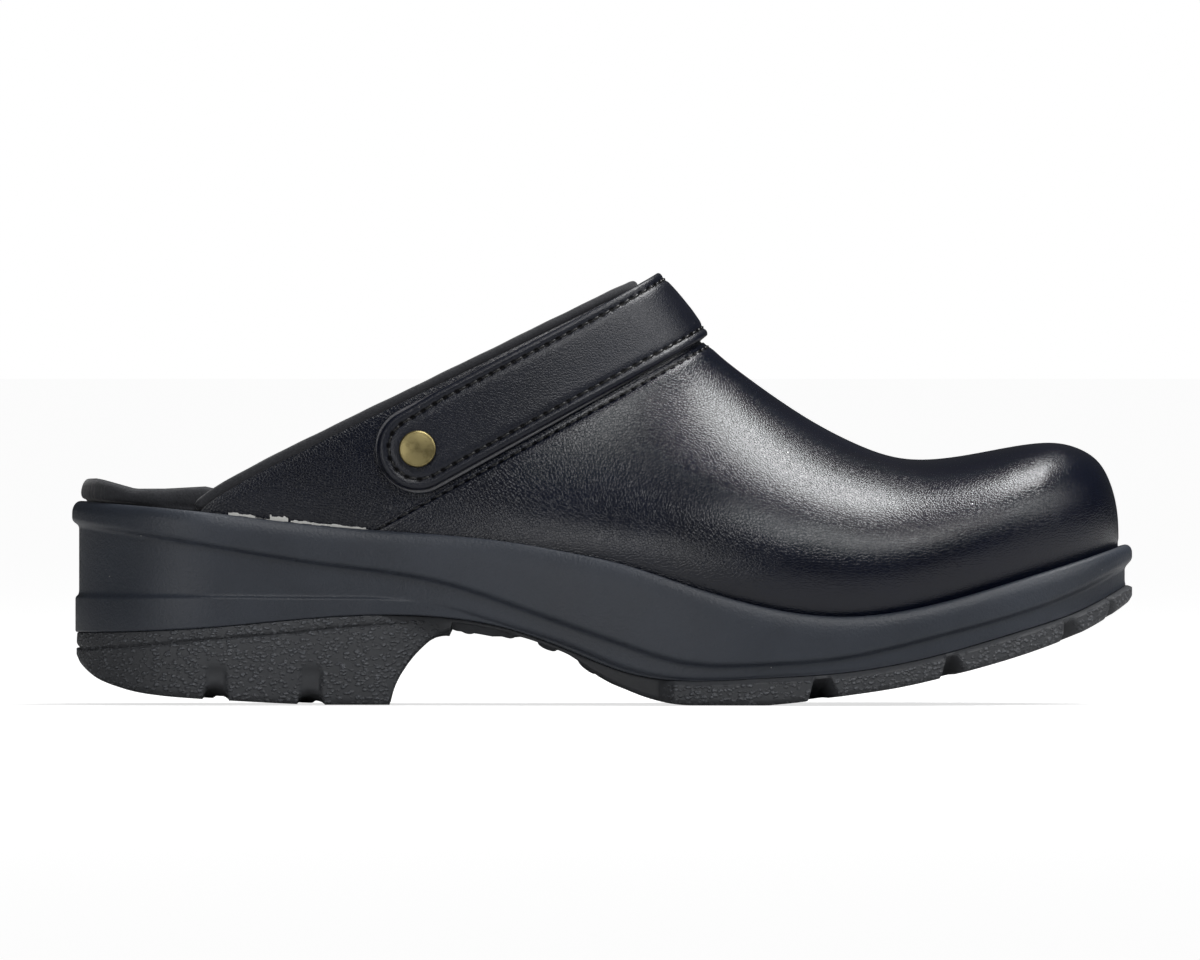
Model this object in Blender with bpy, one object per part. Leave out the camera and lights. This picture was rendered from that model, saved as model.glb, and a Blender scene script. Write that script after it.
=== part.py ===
"""Black leather work clog for the right foot: closed toe, open heel, a riveted strap over the instep.

The toe points along +X, the big-toe side along +Y, and the sole stands on z = 0.
Sizes in the tables are millimetres, and the meshes are made in metres.
"""
import math
from collections import namedtuple

import bmesh
import bpy
import numpy as np
from mathutils import Vector

MM = 0.001
LATERAL, MEDIAL = -1, 1

# Driving sizes
LENGTH = 288.0
HALF = LENGTH / 2
GAP = 0.3                   # clearance between pieces that lie against each other
SEAT_GAP = 0.45             # clearance of the upper in the tray
LIP_WIDTH = 3.4             # midsole lip, from the outline to the tray wall
TRAY_DEPTH = 3.2            # from the lip's top to the tray floor
EDGE = 0.4                  # small rounding of a moulded edge
LEATHER = 1.8               # wall of the quarter
VAMP_STEP = 1.0             # the vamp laps over the quarter
STRAP_THICK = 2.8
WELD = 0.02

# Plan outline: a half ellipse at the heel, a spline along each side, a superellipse round the toe
HEEL_ROUND = 40.0
HEEL_MIDDLE = 2.0
HEEL_HALF_WIDTH = 38.5
TIP_Y = 7.0
TOE_POWER = {LATERAL: 2.2, MEDIAL: 2.3}
Edge = namedtuple("Edge", "x y")
SIDE_EDGE = {
    LATERAL: [Edge(-104, -36.5), Edge(-70, -36.5), Edge(-35, -39.5), Edge(0, -46.5), Edge(25, -51.5),
              Edge(42, -53.0)],
    MEDIAL: [Edge(-104, 40.5), Edge(-70, 38.0), Edge(-35, 33.5), Edge(0, 37.0), Edge(25, 45.0),
             Edge(42, 50.5), Edge(60, 53.0)],
}

# Centre line of the sole, and how far back the forefoot's cross ribs lean on their way in to it
SPINE_ENDS = (-108.0, 84.0)
LUG_LEAN, LEAN_FROM_TO = 16.0, (-5.0, 40.0)

# Heights of the lines that run round the sole, heel to toe
Side = namedtuple("Side", "x lip band rib under")
SIDE_LINES = [
    Side(-144, 55.2, 48.8, 29.2, 19.4),
    Side(-108, 52.2, 43.1, 29.2, 20.8),
    Side(-76, 48.5, 37.9, 28.9, 23.6),
    Side(-42, 45.9, 32.5, 26.4, 23.6),
    Side(-26, 44.2, 27.4, 21.6, 20.8),
    Side(-9, 41.3, 21.3, 16.0, 14.8),
    Side(6, 38.0, 16.0, 10.0, 9.0),
    Side(22, 32.8, 11.3, 7.2, 6.6),
    Side(42, 27.0, 10.7, 7.7, 7.2),
    Side(64, 24.0, 12.4, 9.3, 8.6),
    Side(90, 27.3, 18.2, 14.0, 13.2),
    Side(115, 34.5, 25.2, 21.2, 20.4),
    Side(130, 39.2, 31.0, 26.4, 25.6),
    Side(144, 43.9, 38.3, 33.6, 33.2),
]

# Midsole: how far its heel rib, arch and recessed wall stand behind the outline
Inset = namedtuple("Inset", "x low wall")
MIDSOLE_INSETS = [
    Inset(-144, 0.9, 1.5), Inset(-62, 0.9, 1.5), Inset(-35, 3.0, 1.8), Inset(0, 4.0, 1.6),
    Inset(22, 2.4, 1.5), Inset(144, 1.8, 1.6),
]
Roll = namedtuple("Roll", "inset drop")
LIP_ROLL = [
    Roll(0.15, 2.2), Roll(1.0, 0.6), Roll(2.0, 0.0), Roll(LIP_WIDTH, 0.9), Roll(LIP_WIDTH, TRAY_DEPTH),
]
Dish = namedtuple("Dish", "x tray cup")
FLOOR_SHARES = (0.55, 0.28, 0.0)        # loops of a floor, as shares of the way out from the centre line
UNDER_INSET = 2.0
DISHES = [
    Dish(-115, 6.0, 11.0), Dish(-75, 3.6, 6.0), Dish(-40, 1.8, 4.0), Dish(0, 0.8, 3.0), Dish(60, 0.0, 2.0),
    Dish(144, 0.0, 1.5),
]

# Insole: padded rim that stands over the lip at the heel and inside the upper further forward
Rim = namedtuple("Rim", "x base rim top")
RIMS = [
    Rim(-144, 4.0, 2.3, 61.2), Rim(-137, 4.0, 2.3, 61.3), Rim(-127, 5.6, 4.6, 58.4),
    Rim(-119, 7.6, 7.4, 58.4), Rim(-108, 8.2, 8.4, 59.0), Rim(-95, 8.2, 8.4, 56.0),
    Rim(-75, 8.0, 8.2, 52.0), Rim(-42, 8.0, 8.0, 48.9),
]
RIM_OVER_LIP = 3.0
RIM_ROUND = 2.6             # height of the rim's outer rounding above the lip
INSOLE_SEAT = 0.4           # the insole lies this far above the tray

# Outsole: side of the tread behind the outline, groove below the heel band
Tread = namedtuple("Tread", "x inset")
TREAD_SIDE = [
    Tread(-144, 1.2), Tread(-62, 0.6), Tread(-44, 7.0), Tread(-5, 8.0), Tread(14, 6.0), Tread(19.5, 0.4),
    Tread(120, 0.2), Tread(144, 0.0),
]
Groove = namedtuple("Groove", "x drop depth bevel")
GROOVES = [
    Groove(-144, 4.6, 0.9, 0.2), Groove(-107, 3.2, 0.9, 0.2), Groove(-84, 3.5, 0.9, 0.2),
    Groove(-58, 2.6, 0.9, 0.2), Groove(-50, 2.2, 0.0, 0.2), Groove(14, 1.8, 0.0, 0.2),
    Groove(20, 1.8, 0.0, 1.0), Groove(144, 1.5, 0.0, 0.8),
]
GROOVE_HALF = 0.7
Slot = namedtuple("Slot", "back_mouth back_top front_top front_mouth depth scallop")
SLOTS = [
    Slot(-108.3, -106.7, -102.7, -101.1, 3.5, 1.2), Slot(-82.6, -81.0, -77.0, -75.4, 3.1, 1.2),
    Slot(55.6, 57.8, 60.8, 64.9, 6.4, 0.0), Slot(91.7, 93.6, 95.3, 99.3, 5.2, 0.0),
    Slot(124.9, 125.7, 127.6, 131.0, 4.2, 0.0), Slot(137.1, 138.1, 138.5, 139.8, 3.0, 0.0),
]
MIDDLE_SHARE, LUG_SHARE = 0.72, 0.78    # recessed middle and lugs: shares of the way from the centre line
TREAD_ROUND = 1.0           # rounding of the tread's lower edge
BAR_PLACES = (-36.0, -26.4, -15.5, -4.1)
BAR_FOOT, BAR_TOP, BAR_HIGH = 4.4, 2.2, 1.7
Ground = namedtuple("Ground", "x z")
HEEL_GROUND = [
    Ground(-144, 13.5), Ground(-138.6, 8.0), Ground(-133, 5.3), Ground(-127.7, 3.7), Ground(-122, 2.7),
    Ground(-111, 1.7), Ground(-95, 0.8), Ground(-84, 0.25), Ground(-76, 0.0),
]
HEEL_FRONT = -57.5
BREAST_LENGTH, BREAST_HIGH, BREAST_POWER = 16.7, 20.2, 1.5
Middle = namedtuple("Middle", "x rise")
TREAD_MIDDLE = [Middle(-144, 1.0), Middle(-60, 1.0), Middle(-50, 0.0), Middle(24, 0.0), Middle(45, 2.2),
                Middle(144, 1.8)]
FOREFOOT_FLAT = (24.0, 45.0)
BALL_LENGTH, BALL_HIGH, BALL_POWER = 32.0, 13.0, 1.9
TOE_GROUND = [
    Ground(45, 0.0), Ground(54, 0.9), Ground(64, 2.3), Ground(80, 4.7), Ground(96, 8.4), Ground(112, 12.9),
    Ground(124, 17.1), Ground(134, 21.7), Ground(144, 28.3),
]
SHANK_SKIN = 1.2

# Ribs of the upper: where each starts on the outline and where it crosses the ridge of the last
Rib = namedtuple("Rib", "row base ridge_x ridge_y ridge_z side_power")
RIBS = [
    Rib(0, -110.0, 9.7, 4.0, 114.4, 0.72),
    Rib(1, -86.0, 20.2, 4.0, 107.9, 0.80),
    Rib(2, -61.7, 28.3, 4.5, 98.0, 0.88),
    Rib(3, -34.0, 40.5, 5.0, 87.8, 0.94),
    Rib(4, -6.0, 55.0, 6.0, 77.9, 0.96),
    Rib(5, 22.0, 69.0, 7.0, 70.5, 0.94),
    Rib(6, 48.0, 82.0, 7.5, 66.5, 0.92),
    Rib(7, 72.0, 96.0, 8.0, 67.0, 0.88),
    Rib(8, 95.0, 110.0, 8.0, 69.5, 0.84),
    Rib(9, 115.0, 121.5, 7.5, 70.8, 0.80),
    Rib(10, 128.0, 129.5, 7.0, 69.2, 0.78),
    Rib(11, 136.0, 135.4, 7.0, 64.9, 0.76),
    Rib(12, 140.5, 138.8, 7.0, 57.6, 0.76),
    Rib(13, 143.0, 140.1, 7.0, 50.6, 0.80),
    Rib(14, 144.0, 140.3, 7.0, 44.4, 0.90),
]
RIB_POINTS = 10             # from the lip to the ridge
SEAM_ROW = 1.95
SWELL_HIGH, SWELL_SHARE = 9.0, 0.25     # the widest place of a rib above the lip

FOOT_BACK, FOOT_TURN = 11.0, 0.12       # the topline's lower end bows back and stands steeper

# Strap, rivets and the roll along the topline
STRAP_ROW, STRAP_ROW_SHIFT = 1.09, 0.02  # beside the foot, and its move forward over the ridge
RIVET_TURN = math.radians(12.6)         # from the widest place of the rib up
STRAP_HALF_END, STRAP_HALF_RIDGE, STRAP_END = 11.8, 11.0, 11.2
STRAP_CLEAR = 0.05  # rows between the strap's front edge and the vamp's step
STRAP_LIFT, STRAP_LIFT_REAR, STRAP_LIFT_REACH = 0.5, 2.2, 26.0
Outline = namedtuple("Outline", "across height")
STRAP_OUTLINE = [
    Outline(-1, 0.7), Outline(-0.94, 2.3), Outline(-0.6, STRAP_THICK), Outline(0, STRAP_THICK),
    Outline(0.6, STRAP_THICK), Outline(0.94, 2.3), Outline(1, 0.7), Outline(0.96, 0), Outline(0.5, 0),
    Outline(0, 0), Outline(-0.5, 0), Outline(-0.96, 0),
]
CAP_RADIUS, CAP_HIGH, POST_RADIUS, HOLE_RADIUS, TAIL_RADIUS, TAIL_THICK = 5.0, 1.9, 2.0, 2.5, 4.4, 0.9
RIVET_SIDES, HOLE_DEPTH = 16, 16.0
ROLL_TALL, ROLL_THICK, ROLL_CLEAR = 3.0, 3.4, 0.9
ROLL_START = 0.55                       # the roll starts above the lip, at this share of the first turn


def spline(rows, column, level_ends=False):
    """Cubic spline through one column of a table, against the table's first column."""
    keys = np.array([row[0] for row in rows], float)
    values = np.array([getattr(row, column) for row in rows], float)
    steps = np.diff(keys)
    slopes = np.diff(values) / steps
    count = len(keys)
    system = np.zeros((count, count))
    target = np.zeros(count)
    system[0, 0] = system[-1, -1] = 1
    for i in range(1, count - 1):
        system[i, i - 1:i + 2] = steps[i - 1], 2 * (steps[i - 1] + steps[i]), steps[i]
        target[i] = 6 * (slopes[i] - slopes[i - 1])
    if level_ends:
        system[0, :2] = 2 * steps[0], steps[0]
        system[-1, -2:] = steps[-1], 2 * steps[-1]
        target[0], target[-1] = 6 * slopes[0], -6 * slopes[-1]
    bend = np.linalg.solve(system, target)

    def value(key):
        key = min(max(key, keys[0]), keys[-1])
        i = min(max(int(np.searchsorted(keys, key)) - 1, 0), count - 2)
        high = (key - keys[i]) / steps[i]
        low = 1 - high
        curve = (low ** 3 - low) * bend[i] + (high ** 3 - high) * bend[i + 1]
        return float(low * values[i] + high * values[i + 1] + curve * steps[i] ** 2 / 6)

    return value


def straight(rows, column):
    """Straight lines through one column of a table, against the table's first column."""
    keys = [row[0] for row in rows]
    values = [getattr(row, column) for row in rows]
    return lambda key: float(np.interp(key, keys, values))


lip_top = spline(SIDE_LINES, "lip")
band_low = spline(SIDE_LINES, "band")
rib_top = spline(SIDE_LINES, "rib")
under = spline(SIDE_LINES, "under")
low_inset = straight(MIDSOLE_INSETS, "low")
wall_inset = straight(MIDSOLE_INSETS, "wall")
tray_dish = straight(DISHES, "tray")
cup_depth = straight(DISHES, "cup")
base_inset = straight(RIMS, "base")
rim_inset = straight(RIMS, "rim")
rim_top_back = straight(RIMS, "top")
tread_inset = straight(TREAD_SIDE, "inset")
groove_drop = straight(GROOVES, "drop")
groove_depth = straight(GROOVES, "depth")
top_bevel = straight(GROOVES, "bevel")
heel_ground = spline(HEEL_GROUND, "z")
toe_ground = spline(TOE_GROUND, "z")
middle_rise = straight(TREAD_MIDDLE, "rise")
side_spline = {side: spline(rows, "y", level_ends=True) for side, rows in SIDE_EDGE.items()}
rib_base = spline(RIBS, "base")
rib_power = spline(RIBS, "side_power")
ridge_lines = [spline(RIBS, column) for column in ("ridge_x", "ridge_y", "ridge_z")]


def edge_y(side, x):
    """Plan outline of one side at x."""
    rows = SIDE_EDGE[side]
    if x < rows[0].x:
        along = (rows[0].x - x) / HEEL_ROUND
        return HEEL_MIDDLE + side * HEEL_HALF_WIDTH * math.sqrt(max(0.0, 1 - along * along))
    if x > rows[-1].x:
        along = (x - rows[-1].x) / (HALF - rows[-1].x)
        power = TOE_POWER[side]
        return TIP_Y + (rows[-1].y - TIP_Y) * max(0.0, 1 - along ** power) ** (1 / power)
    return side_spline[side](x)


def edge_point(side, x, inset=0.0):
    """Point of the plan outline, moved in along the outline's normal."""
    x = min(max(x, -HALF), HALF)
    y = edge_y(side, x)
    small = 0.001
    turn = math.acos(-x / HALF)
    if turn < small or turn > math.pi - small:
        return np.array((x - math.copysign(inset, x), y))
    x0 = -HALF * math.cos(turn - small)
    x1 = -HALF * math.cos(turn + small)
    along = np.array((x1 - x0, edge_y(side, x1) - edge_y(side, x0)))
    along /= np.linalg.norm(along)
    return np.array((x, y)) - inset * side * np.array((-along[1], along[0]))


def spine_point(x):
    """Centre line of the sole, where the cross ribs of station x meet; the forefoot ribs lean back."""
    lean = float(np.interp(x, LEAN_FROM_TO, (0.0, LUG_LEAN)))
    x = min(max(x - lean, SPINE_ENDS[0]), SPINE_ENDS[1])
    return np.array((x, (edge_y(LATERAL, x) + edge_y(MEDIAL, x)) / 2))


def loop(stations, place):
    """Closed loop: the lateral side from heel to toe, then the medial side back."""
    points = [place(LATERAL, x) for x in stations]
    return points + [place(MEDIAL, x) for x in reversed(stations)]


def side_loop(stations, inset, height):
    """Loop along the outline; the inset takes the station, the height the point's own x and the station."""
    def place(side, x):
        point = edge_point(side, x, inset(x))
        return (*point, height(point[0], x))
    return loop(stations, place)


def floor_loop(stations, inset, share, height):
    """Loop at a share of the way from the centre line to the outline; height takes the same two values."""
    def place(side, x):
        middle = spine_point(x)
        point = middle + (edge_point(side, x, inset) - middle) * share
        return (*point, height(point[0], x))
    return loop(stations, place)


def even_stations(count):
    """Stations from heel to toe, evenly spaced along the sides and closing up at both ends."""
    shares = np.linspace(-1, 1, count)
    return [HALF * (s - s ** 7 / 7) * 7 / 6 for s in shares]


def make_material(name, colour, roughness, metallic=0.0):
    material = bpy.data.materials.new(name)
    material.use_nodes = True
    shader = material.node_tree.nodes["Principled BSDF"]
    shader.inputs["Base Color"].default_value = (*colour, 1)
    shader.inputs["Roughness"].default_value = roughness
    shader.inputs["Metallic"].default_value = metallic
    return material


def add_object(name, bm, material, parent):
    """Close the mesh, turn its faces out and put it in the scene."""
    bmesh.ops.remove_doubles(bm, verts=bm.verts, dist=WELD * MM)
    bmesh.ops.dissolve_degenerate(bm, edges=bm.edges, dist=WELD * MM / 10)
    bmesh.ops.triangulate(bm, faces=bm.faces)
    bmesh.ops.recalc_face_normals(bm, faces=bm.faces)
    mesh = bpy.data.meshes.new(name)
    bm.to_mesh(mesh)
    bm.free()
    mesh.shade_smooth()
    mesh.set_sharp_from_angle(angle=math.radians(40))
    mesh.materials.append(material)
    piece = bpy.data.objects.new(name, mesh)
    piece.parent = parent
    bpy.context.scene.collection.objects.link(piece)
    return piece


def loft(loops, capped=False):
    """Skin through loops of equal count; loops that fold flat close the ends, or caps do."""
    bm = bmesh.new()
    rows = [[bm.verts.new(Vector(point) * MM) for point in points] for points in loops]
    count = len(rows[0])
    for low, high in zip(rows, rows[1:]):
        for i in range(count):
            j = (i + 1) % count
            bm.faces.new((low[i], low[j], high[j], high[i]))
    if capped:
        bm.faces.new(rows[0])
        bm.faces.new(rows[-1])
    return bm


def tray_floor(x, share):
    return lip_top(x) - TRAY_DEPTH - tray_dish(x) * (1 - share ** 2)


def make_midsole(material, parent):
    """Wedge with a rolled lip, an overhanging band, a heel rib and a tray for the insole."""
    stations = even_stations(39)
    loops = [floor_loop(stations, UNDER_INSET, share, lambda x, s: under(x)) for share in (0, 0.33, 0.67)]
    walls = [
        (lambda s: low_inset(s) + EDGE, lambda x, s: under(x)),
        (low_inset, lambda x, s: under(x) + EDGE),
        (low_inset, lambda x, s: rib_top(x) - EDGE),
        (wall_inset, lambda x, s: rib_top(x) + EDGE),
        (wall_inset, lambda x, s: band_low(x) - EDGE),
        (lambda s: EDGE, lambda x, s: band_low(x) + 2 * EDGE),
        (lambda s: 0.0, lambda x, s: (band_low(x) + lip_top(x)) / 2),
    ]
    loops += [side_loop(stations, inset, height) for inset, height in walls]
    for roll in LIP_ROLL:
        loops.append(side_loop(stations, lambda s: roll.inset, lambda x, s: lip_top(x) - roll.drop))
    for share in (0.82, *FLOOR_SHARES):
        loops.append(floor_loop(stations, LIP_WIDTH, share, lambda x, s: tray_floor(x, share)))
    return add_object("midsole", loft(loops), material, parent)


def rim_top(x):
    return max(rim_top_back(x) if x < RIMS[-1].x else 0.0, lip_top(x) + RIM_OVER_LIP)


def make_insole(material, parent):
    """Padded footbed: dished in the tray, rolled over the lip round the heel."""
    stations = even_stations(29)
    loops = []
    for share in reversed(FLOOR_SHARES):
        loops.append(floor_loop(stations, LIP_WIDTH, share, lambda x, s: tray_floor(x, share) + INSOLE_SEAT))
    walls = [
        (lambda s: base_inset(s) + EDGE, lambda x, s: lip_top(x) - TRAY_DEPTH + INSOLE_SEAT),
        (base_inset, lambda x, s: lip_top(x) - TRAY_DEPTH + INSOLE_SEAT + EDGE),
        (base_inset, lambda x, s: lip_top(x) + EDGE),
        (lambda s: rim_inset(s) + EDGE, lambda x, s: lip_top(x) + 2 * EDGE),
        (rim_inset, lambda x, s: min(lip_top(x) + RIM_ROUND, rim_top(x) - 1.4)),
        (lambda s: rim_inset(s) + 1.0, lambda x, s: rim_top(x) - 0.8),
        (lambda s: rim_inset(s) + 3.0, lambda x, s: rim_top(x)),
        (lambda s: rim_inset(s) + 6.5, lambda x, s: rim_top(x) - 0.14 * cup_depth(x)),
    ]
    loops += [side_loop(stations, inset, height) for inset, height in walls]
    for share in FLOOR_SHARES:
        loops.append(floor_loop(stations, LIP_WIDTH, share,
                                lambda x, s: rim_top(x) - cup_depth(x) * (1 - share ** 2)))
    return add_object("insole", loft(loops), material, parent)


def ground(x):
    """Height of the tread above the floor: heel bevel, heel, breast, shank, ball, toe spring."""
    if x < HEEL_GROUND[-1].x:
        return heel_ground(x)
    if x < HEEL_FRONT:
        return 0.0
    skin = under(x) - SHANK_SKIN
    if x < HEEL_FRONT + BREAST_LENGTH:
        left = (HEEL_FRONT + BREAST_LENGTH - x) / BREAST_LENGTH
        rise = BREAST_HIGH * max(1 - left ** BREAST_POWER, 0.0) ** (1 / BREAST_POWER)
        return min(rise, skin)
    if x < FOREFOOT_FLAT[0]:
        ramp = BALL_HIGH * ((FOREFOOT_FLAT[0] - x) / BALL_LENGTH) ** BALL_POWER
        return min(ramp, skin)
    if x < FOREFOOT_FLAT[1]:
        return 0.0
    return toe_ground(x)


def slot_share(station):
    """The slot that a station lies in and how far up its wall it is, from 0 at the mouth to 1."""
    for slot in SLOTS:
        if slot.back_mouth < station < slot.front_mouth:
            return slot, float(np.interp(station, slot[:4], (0, 1, 1, 0)))
    return SLOTS[0], 0.0


def slot_depth(station):
    slot, share = slot_share(station)
    return slot.depth * share


def scallop(station):
    slot, share = slot_share(station)
    return slot.scallop * share


def bar_height(station):
    """Cross bars under the shank."""
    away = min(abs(station - place) for place in BAR_PLACES)
    share = (BAR_FOOT / 2 - away) / ((BAR_FOOT - BAR_TOP) / 2)
    return BAR_HIGH * min(max(share, 0.0), 1.0)


def outsole_stations():
    """Stations at every slot wall and bar, with a few between them."""
    stations = {-144.0, -142.6, -138.5, -131.0, -121.0, -92.0, -66.0, HEEL_FRONT, -56.5, -54.0, -50.0, -45.0,
                -41.0, 4.0, 14.0, 18.8, 19.6, 24.0, 34.0, 45.0, 78.0, 111.0, 118.0, 134.0, 142.6, 144.0}
    for slot in SLOTS:
        stations |= set(slot[:4])
    for place in BAR_PLACES:
        for half in (BAR_FOOT / 2, BAR_TOP / 2):
            stations |= {place - half, place + half}
    return sorted(stations)


def make_outsole(material, parent):
    """Tread moulding: heel block with two notches, breast, bars under the shank, forefoot lugs."""
    stations = outsole_stations()

    def tread(share):
        def height(x, station):
            cut = slot_depth(station) if share >= LUG_SHARE else middle_rise(x)
            bar = bar_height(station) if share <= MIDDLE_SHARE else 0.0
            return min(ground(x) + cut, under(x) - SHANK_SKIN) - bar
        return height

    def low(x, s):
        return min(ground(x) + slot_depth(s), under(x) - SHANK_SKIN)

    def top(x, s):
        return under(x) - GAP

    def wall(share, most=LENGTH, least=0.0):
        """Height at a share of the wall, between limits above the tread and the floor."""
        def height(x, s):
            thick = top(x, s) - low(x, s)
            return low(x, s) + min(max(least - low(x, s), most), share * thick)
        return height

    def groove_line(shift):
        def height(x, s):
            thick = top(x, s) - low(x, s)
            middle = max(under(x) - groove_drop(x), low(x, s) + 0.5 * thick)
            middle = min(middle, top(x, s) - min(0.2 * thick, 1.8))
            return middle + shift * min(GROOVE_HALF, 0.08 * thick)
        return height

    loops = [floor_loop(stations, 1.2, share, tread(share)) for share in (0, 0.36, MIDDLE_SHARE, LUG_SHARE)]
    walls = [
        (lambda s: tread_inset(s) + scallop(s) + TREAD_ROUND, low),
        (lambda s: tread_inset(s) + scallop(s), wall(0.2, most=1.2)),
        (lambda s: tread_inset(s) + scallop(s), wall(0.3, most=1.4, least=9.0)),
        (tread_inset, groove_line(-1)),
        (lambda s: tread_inset(s) + groove_depth(s), groove_line(0)),
        (tread_inset, groove_line(1)),
        (lambda s: tread_inset(s) + top_bevel(s), top),
    ]
    loops += [side_loop(stations, inset, height) for inset, height in walls]
    loops += [floor_loop(stations, UNDER_INSET, share, top) for share in (0.67, 0.33, 0)]
    return add_object("outsole", loft(loops), material, parent)


def ridge_point(row):
    return np.array([line(row) for line in ridge_lines])


def rib_frame(row, side):
    """A rib's middle, widest place and ridge, and the angle at which it meets the lip."""
    station = min(rib_base(row), HALF)
    ridge = ridge_point(row)
    lip = lip_top(station)
    foot = {s: np.array((*edge_point(s, station, LIP_WIDTH + SEAT_GAP), lip)) for s in (LATERAL, MEDIAL)}
    high = ridge[2] - lip
    swell = min(SWELL_HIGH, SWELL_SHARE * high)
    lip_turn = math.asin(swell / (high - swell))
    spread = foot[MEDIAL][1] - foot[LATERAL][1]
    share = (ridge[1] - foot[LATERAL][1]) / spread if spread > WELD else 0.5
    middle = foot[LATERAL] + (foot[MEDIAL] - foot[LATERAL]) * share
    lift = (ridge - middle) * swell / high
    reach = (foot[side] - middle) / math.cos(lip_turn) ** rib_power(row)
    return middle + lift, reach, ridge - middle - lift, lip_turn


def skin(row, side, turn):
    """Outer skin of the upper: row runs from the topline to the toe, turn from the lip up to the ridge."""
    middle, reach, rise, lip_turn = rib_frame(row, side)
    turn = max(turn, -lip_turn)
    out = max(math.cos(turn), 0.0) ** rib_power(row)
    point = middle + reach * out + rise * math.sin(turn)
    climb = max(math.sin(turn) + math.sin(lip_turn), 0.0) / (1 + math.sin(lip_turn))
    bow = climb / (climb + FOOT_TURN) * max(1 - climb, 0.0) ** 1.5
    point[0] -= FOOT_BACK * bow * max(1 - row / SEAM_ROW, 0.0)
    return point


def skin_normal(row, side, turn):
    """Outward normal of the skin."""
    if row > RIBS[-1].row - 0.02:
        return np.array((1.0, 0.0, 0.0))
    small = 0.01
    lip_turn = rib_frame(row, side)[3]
    low, high = max(turn - small, -lip_turn), min(turn + small, math.pi / 2 - small / 2)
    back, front = max(row - small, 0.0), row + small
    up = skin(row, side, high) - skin(row, side, low)
    along = skin(front, side, turn) - skin(back, side, turn)
    if turn > math.pi / 2 - small:
        up = skin(row, MEDIAL, math.pi / 2 - small) - skin(row, LATERAL, math.pi / 2 - small)
        side = LATERAL
    normal = np.cross(along, up) * -side
    return normal / np.linalg.norm(normal)


def off_skin(row, side, turn, away):
    return skin(row, side, turn) + skin_normal(row, side, turn) * away


def rib_turns(row):
    """Evenly spaced turns of a rib from the lip to the ridge."""
    return np.linspace(-rib_frame(row, LATERAL)[3], math.pi / 2, RIB_POINTS)


def wall_line(row, away):
    """One rib of the upper at a distance from the skin, from the lateral tray up and over to the medial."""
    halves = []
    floor = lip_top(min(rib_base(row), HALF)) - TRAY_DEPTH + GAP
    for side in (LATERAL, MEDIAL):
        half = [off_skin(row, side, turn, away) for turn in rib_turns(row)]
        halves.append([(*half[0][:2], floor)] + half)
    return halves[0] + halves[1][-2::-1]


def upper_rows():
    """Rows of the upper's ribs, with two close ones where the vamp steps over the quarter."""
    quarter = [0.0, 0.35, 0.7, 1.06, 1.4, 1.7, SEAM_ROW - 0.03]
    vamp = [SEAM_ROW + 0.02, 2.2] + list(np.arange(2.5, 14.01, 0.5))
    return [(row, -VAMP_STEP) for row in quarter] + [(row, 0.0) for row in vamp]


def make_upper(material, parent):
    """One hollow leather wall, open at heel, collar and underneath, with the vamp a step over the quarter."""
    loops = []
    for row, away in upper_rows():
        inner = wall_line(row, -VAMP_STEP - LEATHER)
        loops.append(wall_line(row, away) + inner[::-1])
    bm = loft(loops)
    bm.verts.ensure_lookup_table()
    around = len(loops[0])
    for i in range(around // 2 - 1):
        bm.faces.new([bm.verts[k] for k in (i, i + 1, around - 2 - i, around - 1 - i)])
    return add_object("upper", bm, material, parent)


def make_collar_binding(material, parent):
    """Padded roll along the topline."""
    loops = []
    turns = list(rib_turns(0))
    turns[0] *= ROLL_START
    places = [(LATERAL, turn) for turn in turns] + [(MEDIAL, turn) for turn in turns[-2::-1]]
    small = 0.01
    for side, turn in places:
        normal = skin_normal(0, side, turn)
        edge = skin(0, side, min(turn + small, math.pi / 2)) - skin(0, side, turn - small)
        back = np.cross(normal, edge / np.linalg.norm(edge)) * -side
        middle = off_skin(0, side, turn, -VAMP_STEP - LEATHER / 2) + back * (GAP + ROLL_TALL / 2)
        ring = []
        for angle in np.linspace(0, 2 * math.pi, 8, endpoint=False):
            around = normal * math.cos(angle) * ROLL_THICK / 2 + back * math.sin(angle) * ROLL_TALL / 2
            ring.append(middle + around)
        if min(point[2] for point in ring) > lip_top(middle[0]) + ROLL_CLEAR:
            loops.append(ring)
    return add_object("collar_binding", loft(loops, capped=True), material, parent)


def strap_row(turn):
    """Row of the upper that the strap's centre line lies on."""
    return STRAP_ROW + STRAP_ROW_SHIFT * max(math.sin(turn), 0.0) ** 2


def strap_line():
    """Centre line of the strap over the lateral half: length from the ridge against turn."""
    turns = np.linspace(math.pi / 2, -0.2, 60)
    points = np.array([skin(strap_row(turn), LATERAL, turn) for turn in turns])
    lengths = np.concatenate([[0.0], np.cumsum(np.linalg.norm(np.diff(points, axis=0), axis=1))])
    return lengths, turns


def strap_place(side, turn, across):
    """Row and turn of the skin point that lies a distance across the strap from its centre line."""
    small = 0.01
    middle = strap_row(turn)
    centre = skin(middle, side, turn)
    normal = skin_normal(middle, side, turn)
    along = skin(middle, side, min(turn + small, math.pi / 2)) - skin(middle, side, turn - small)
    along /= np.linalg.norm(along)
    target = np.cross(along, normal) * -side
    row, place = middle, turn
    for _ in range(4):
        here = skin(row, side, place)
        miss = centre + target * across - here
        by_row = (skin(row + small, side, place) - here) / small
        by_turn = (here - skin(row, side, place - small)) / small
        step = np.linalg.lstsq(np.array((by_row, by_turn)).T, miss, rcond=None)[0]
        row = min(max(row + step[0], 0.0), SEAM_ROW - STRAP_CLEAR)
        place = min(place + step[1], math.pi / 2)
    return row, place


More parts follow.
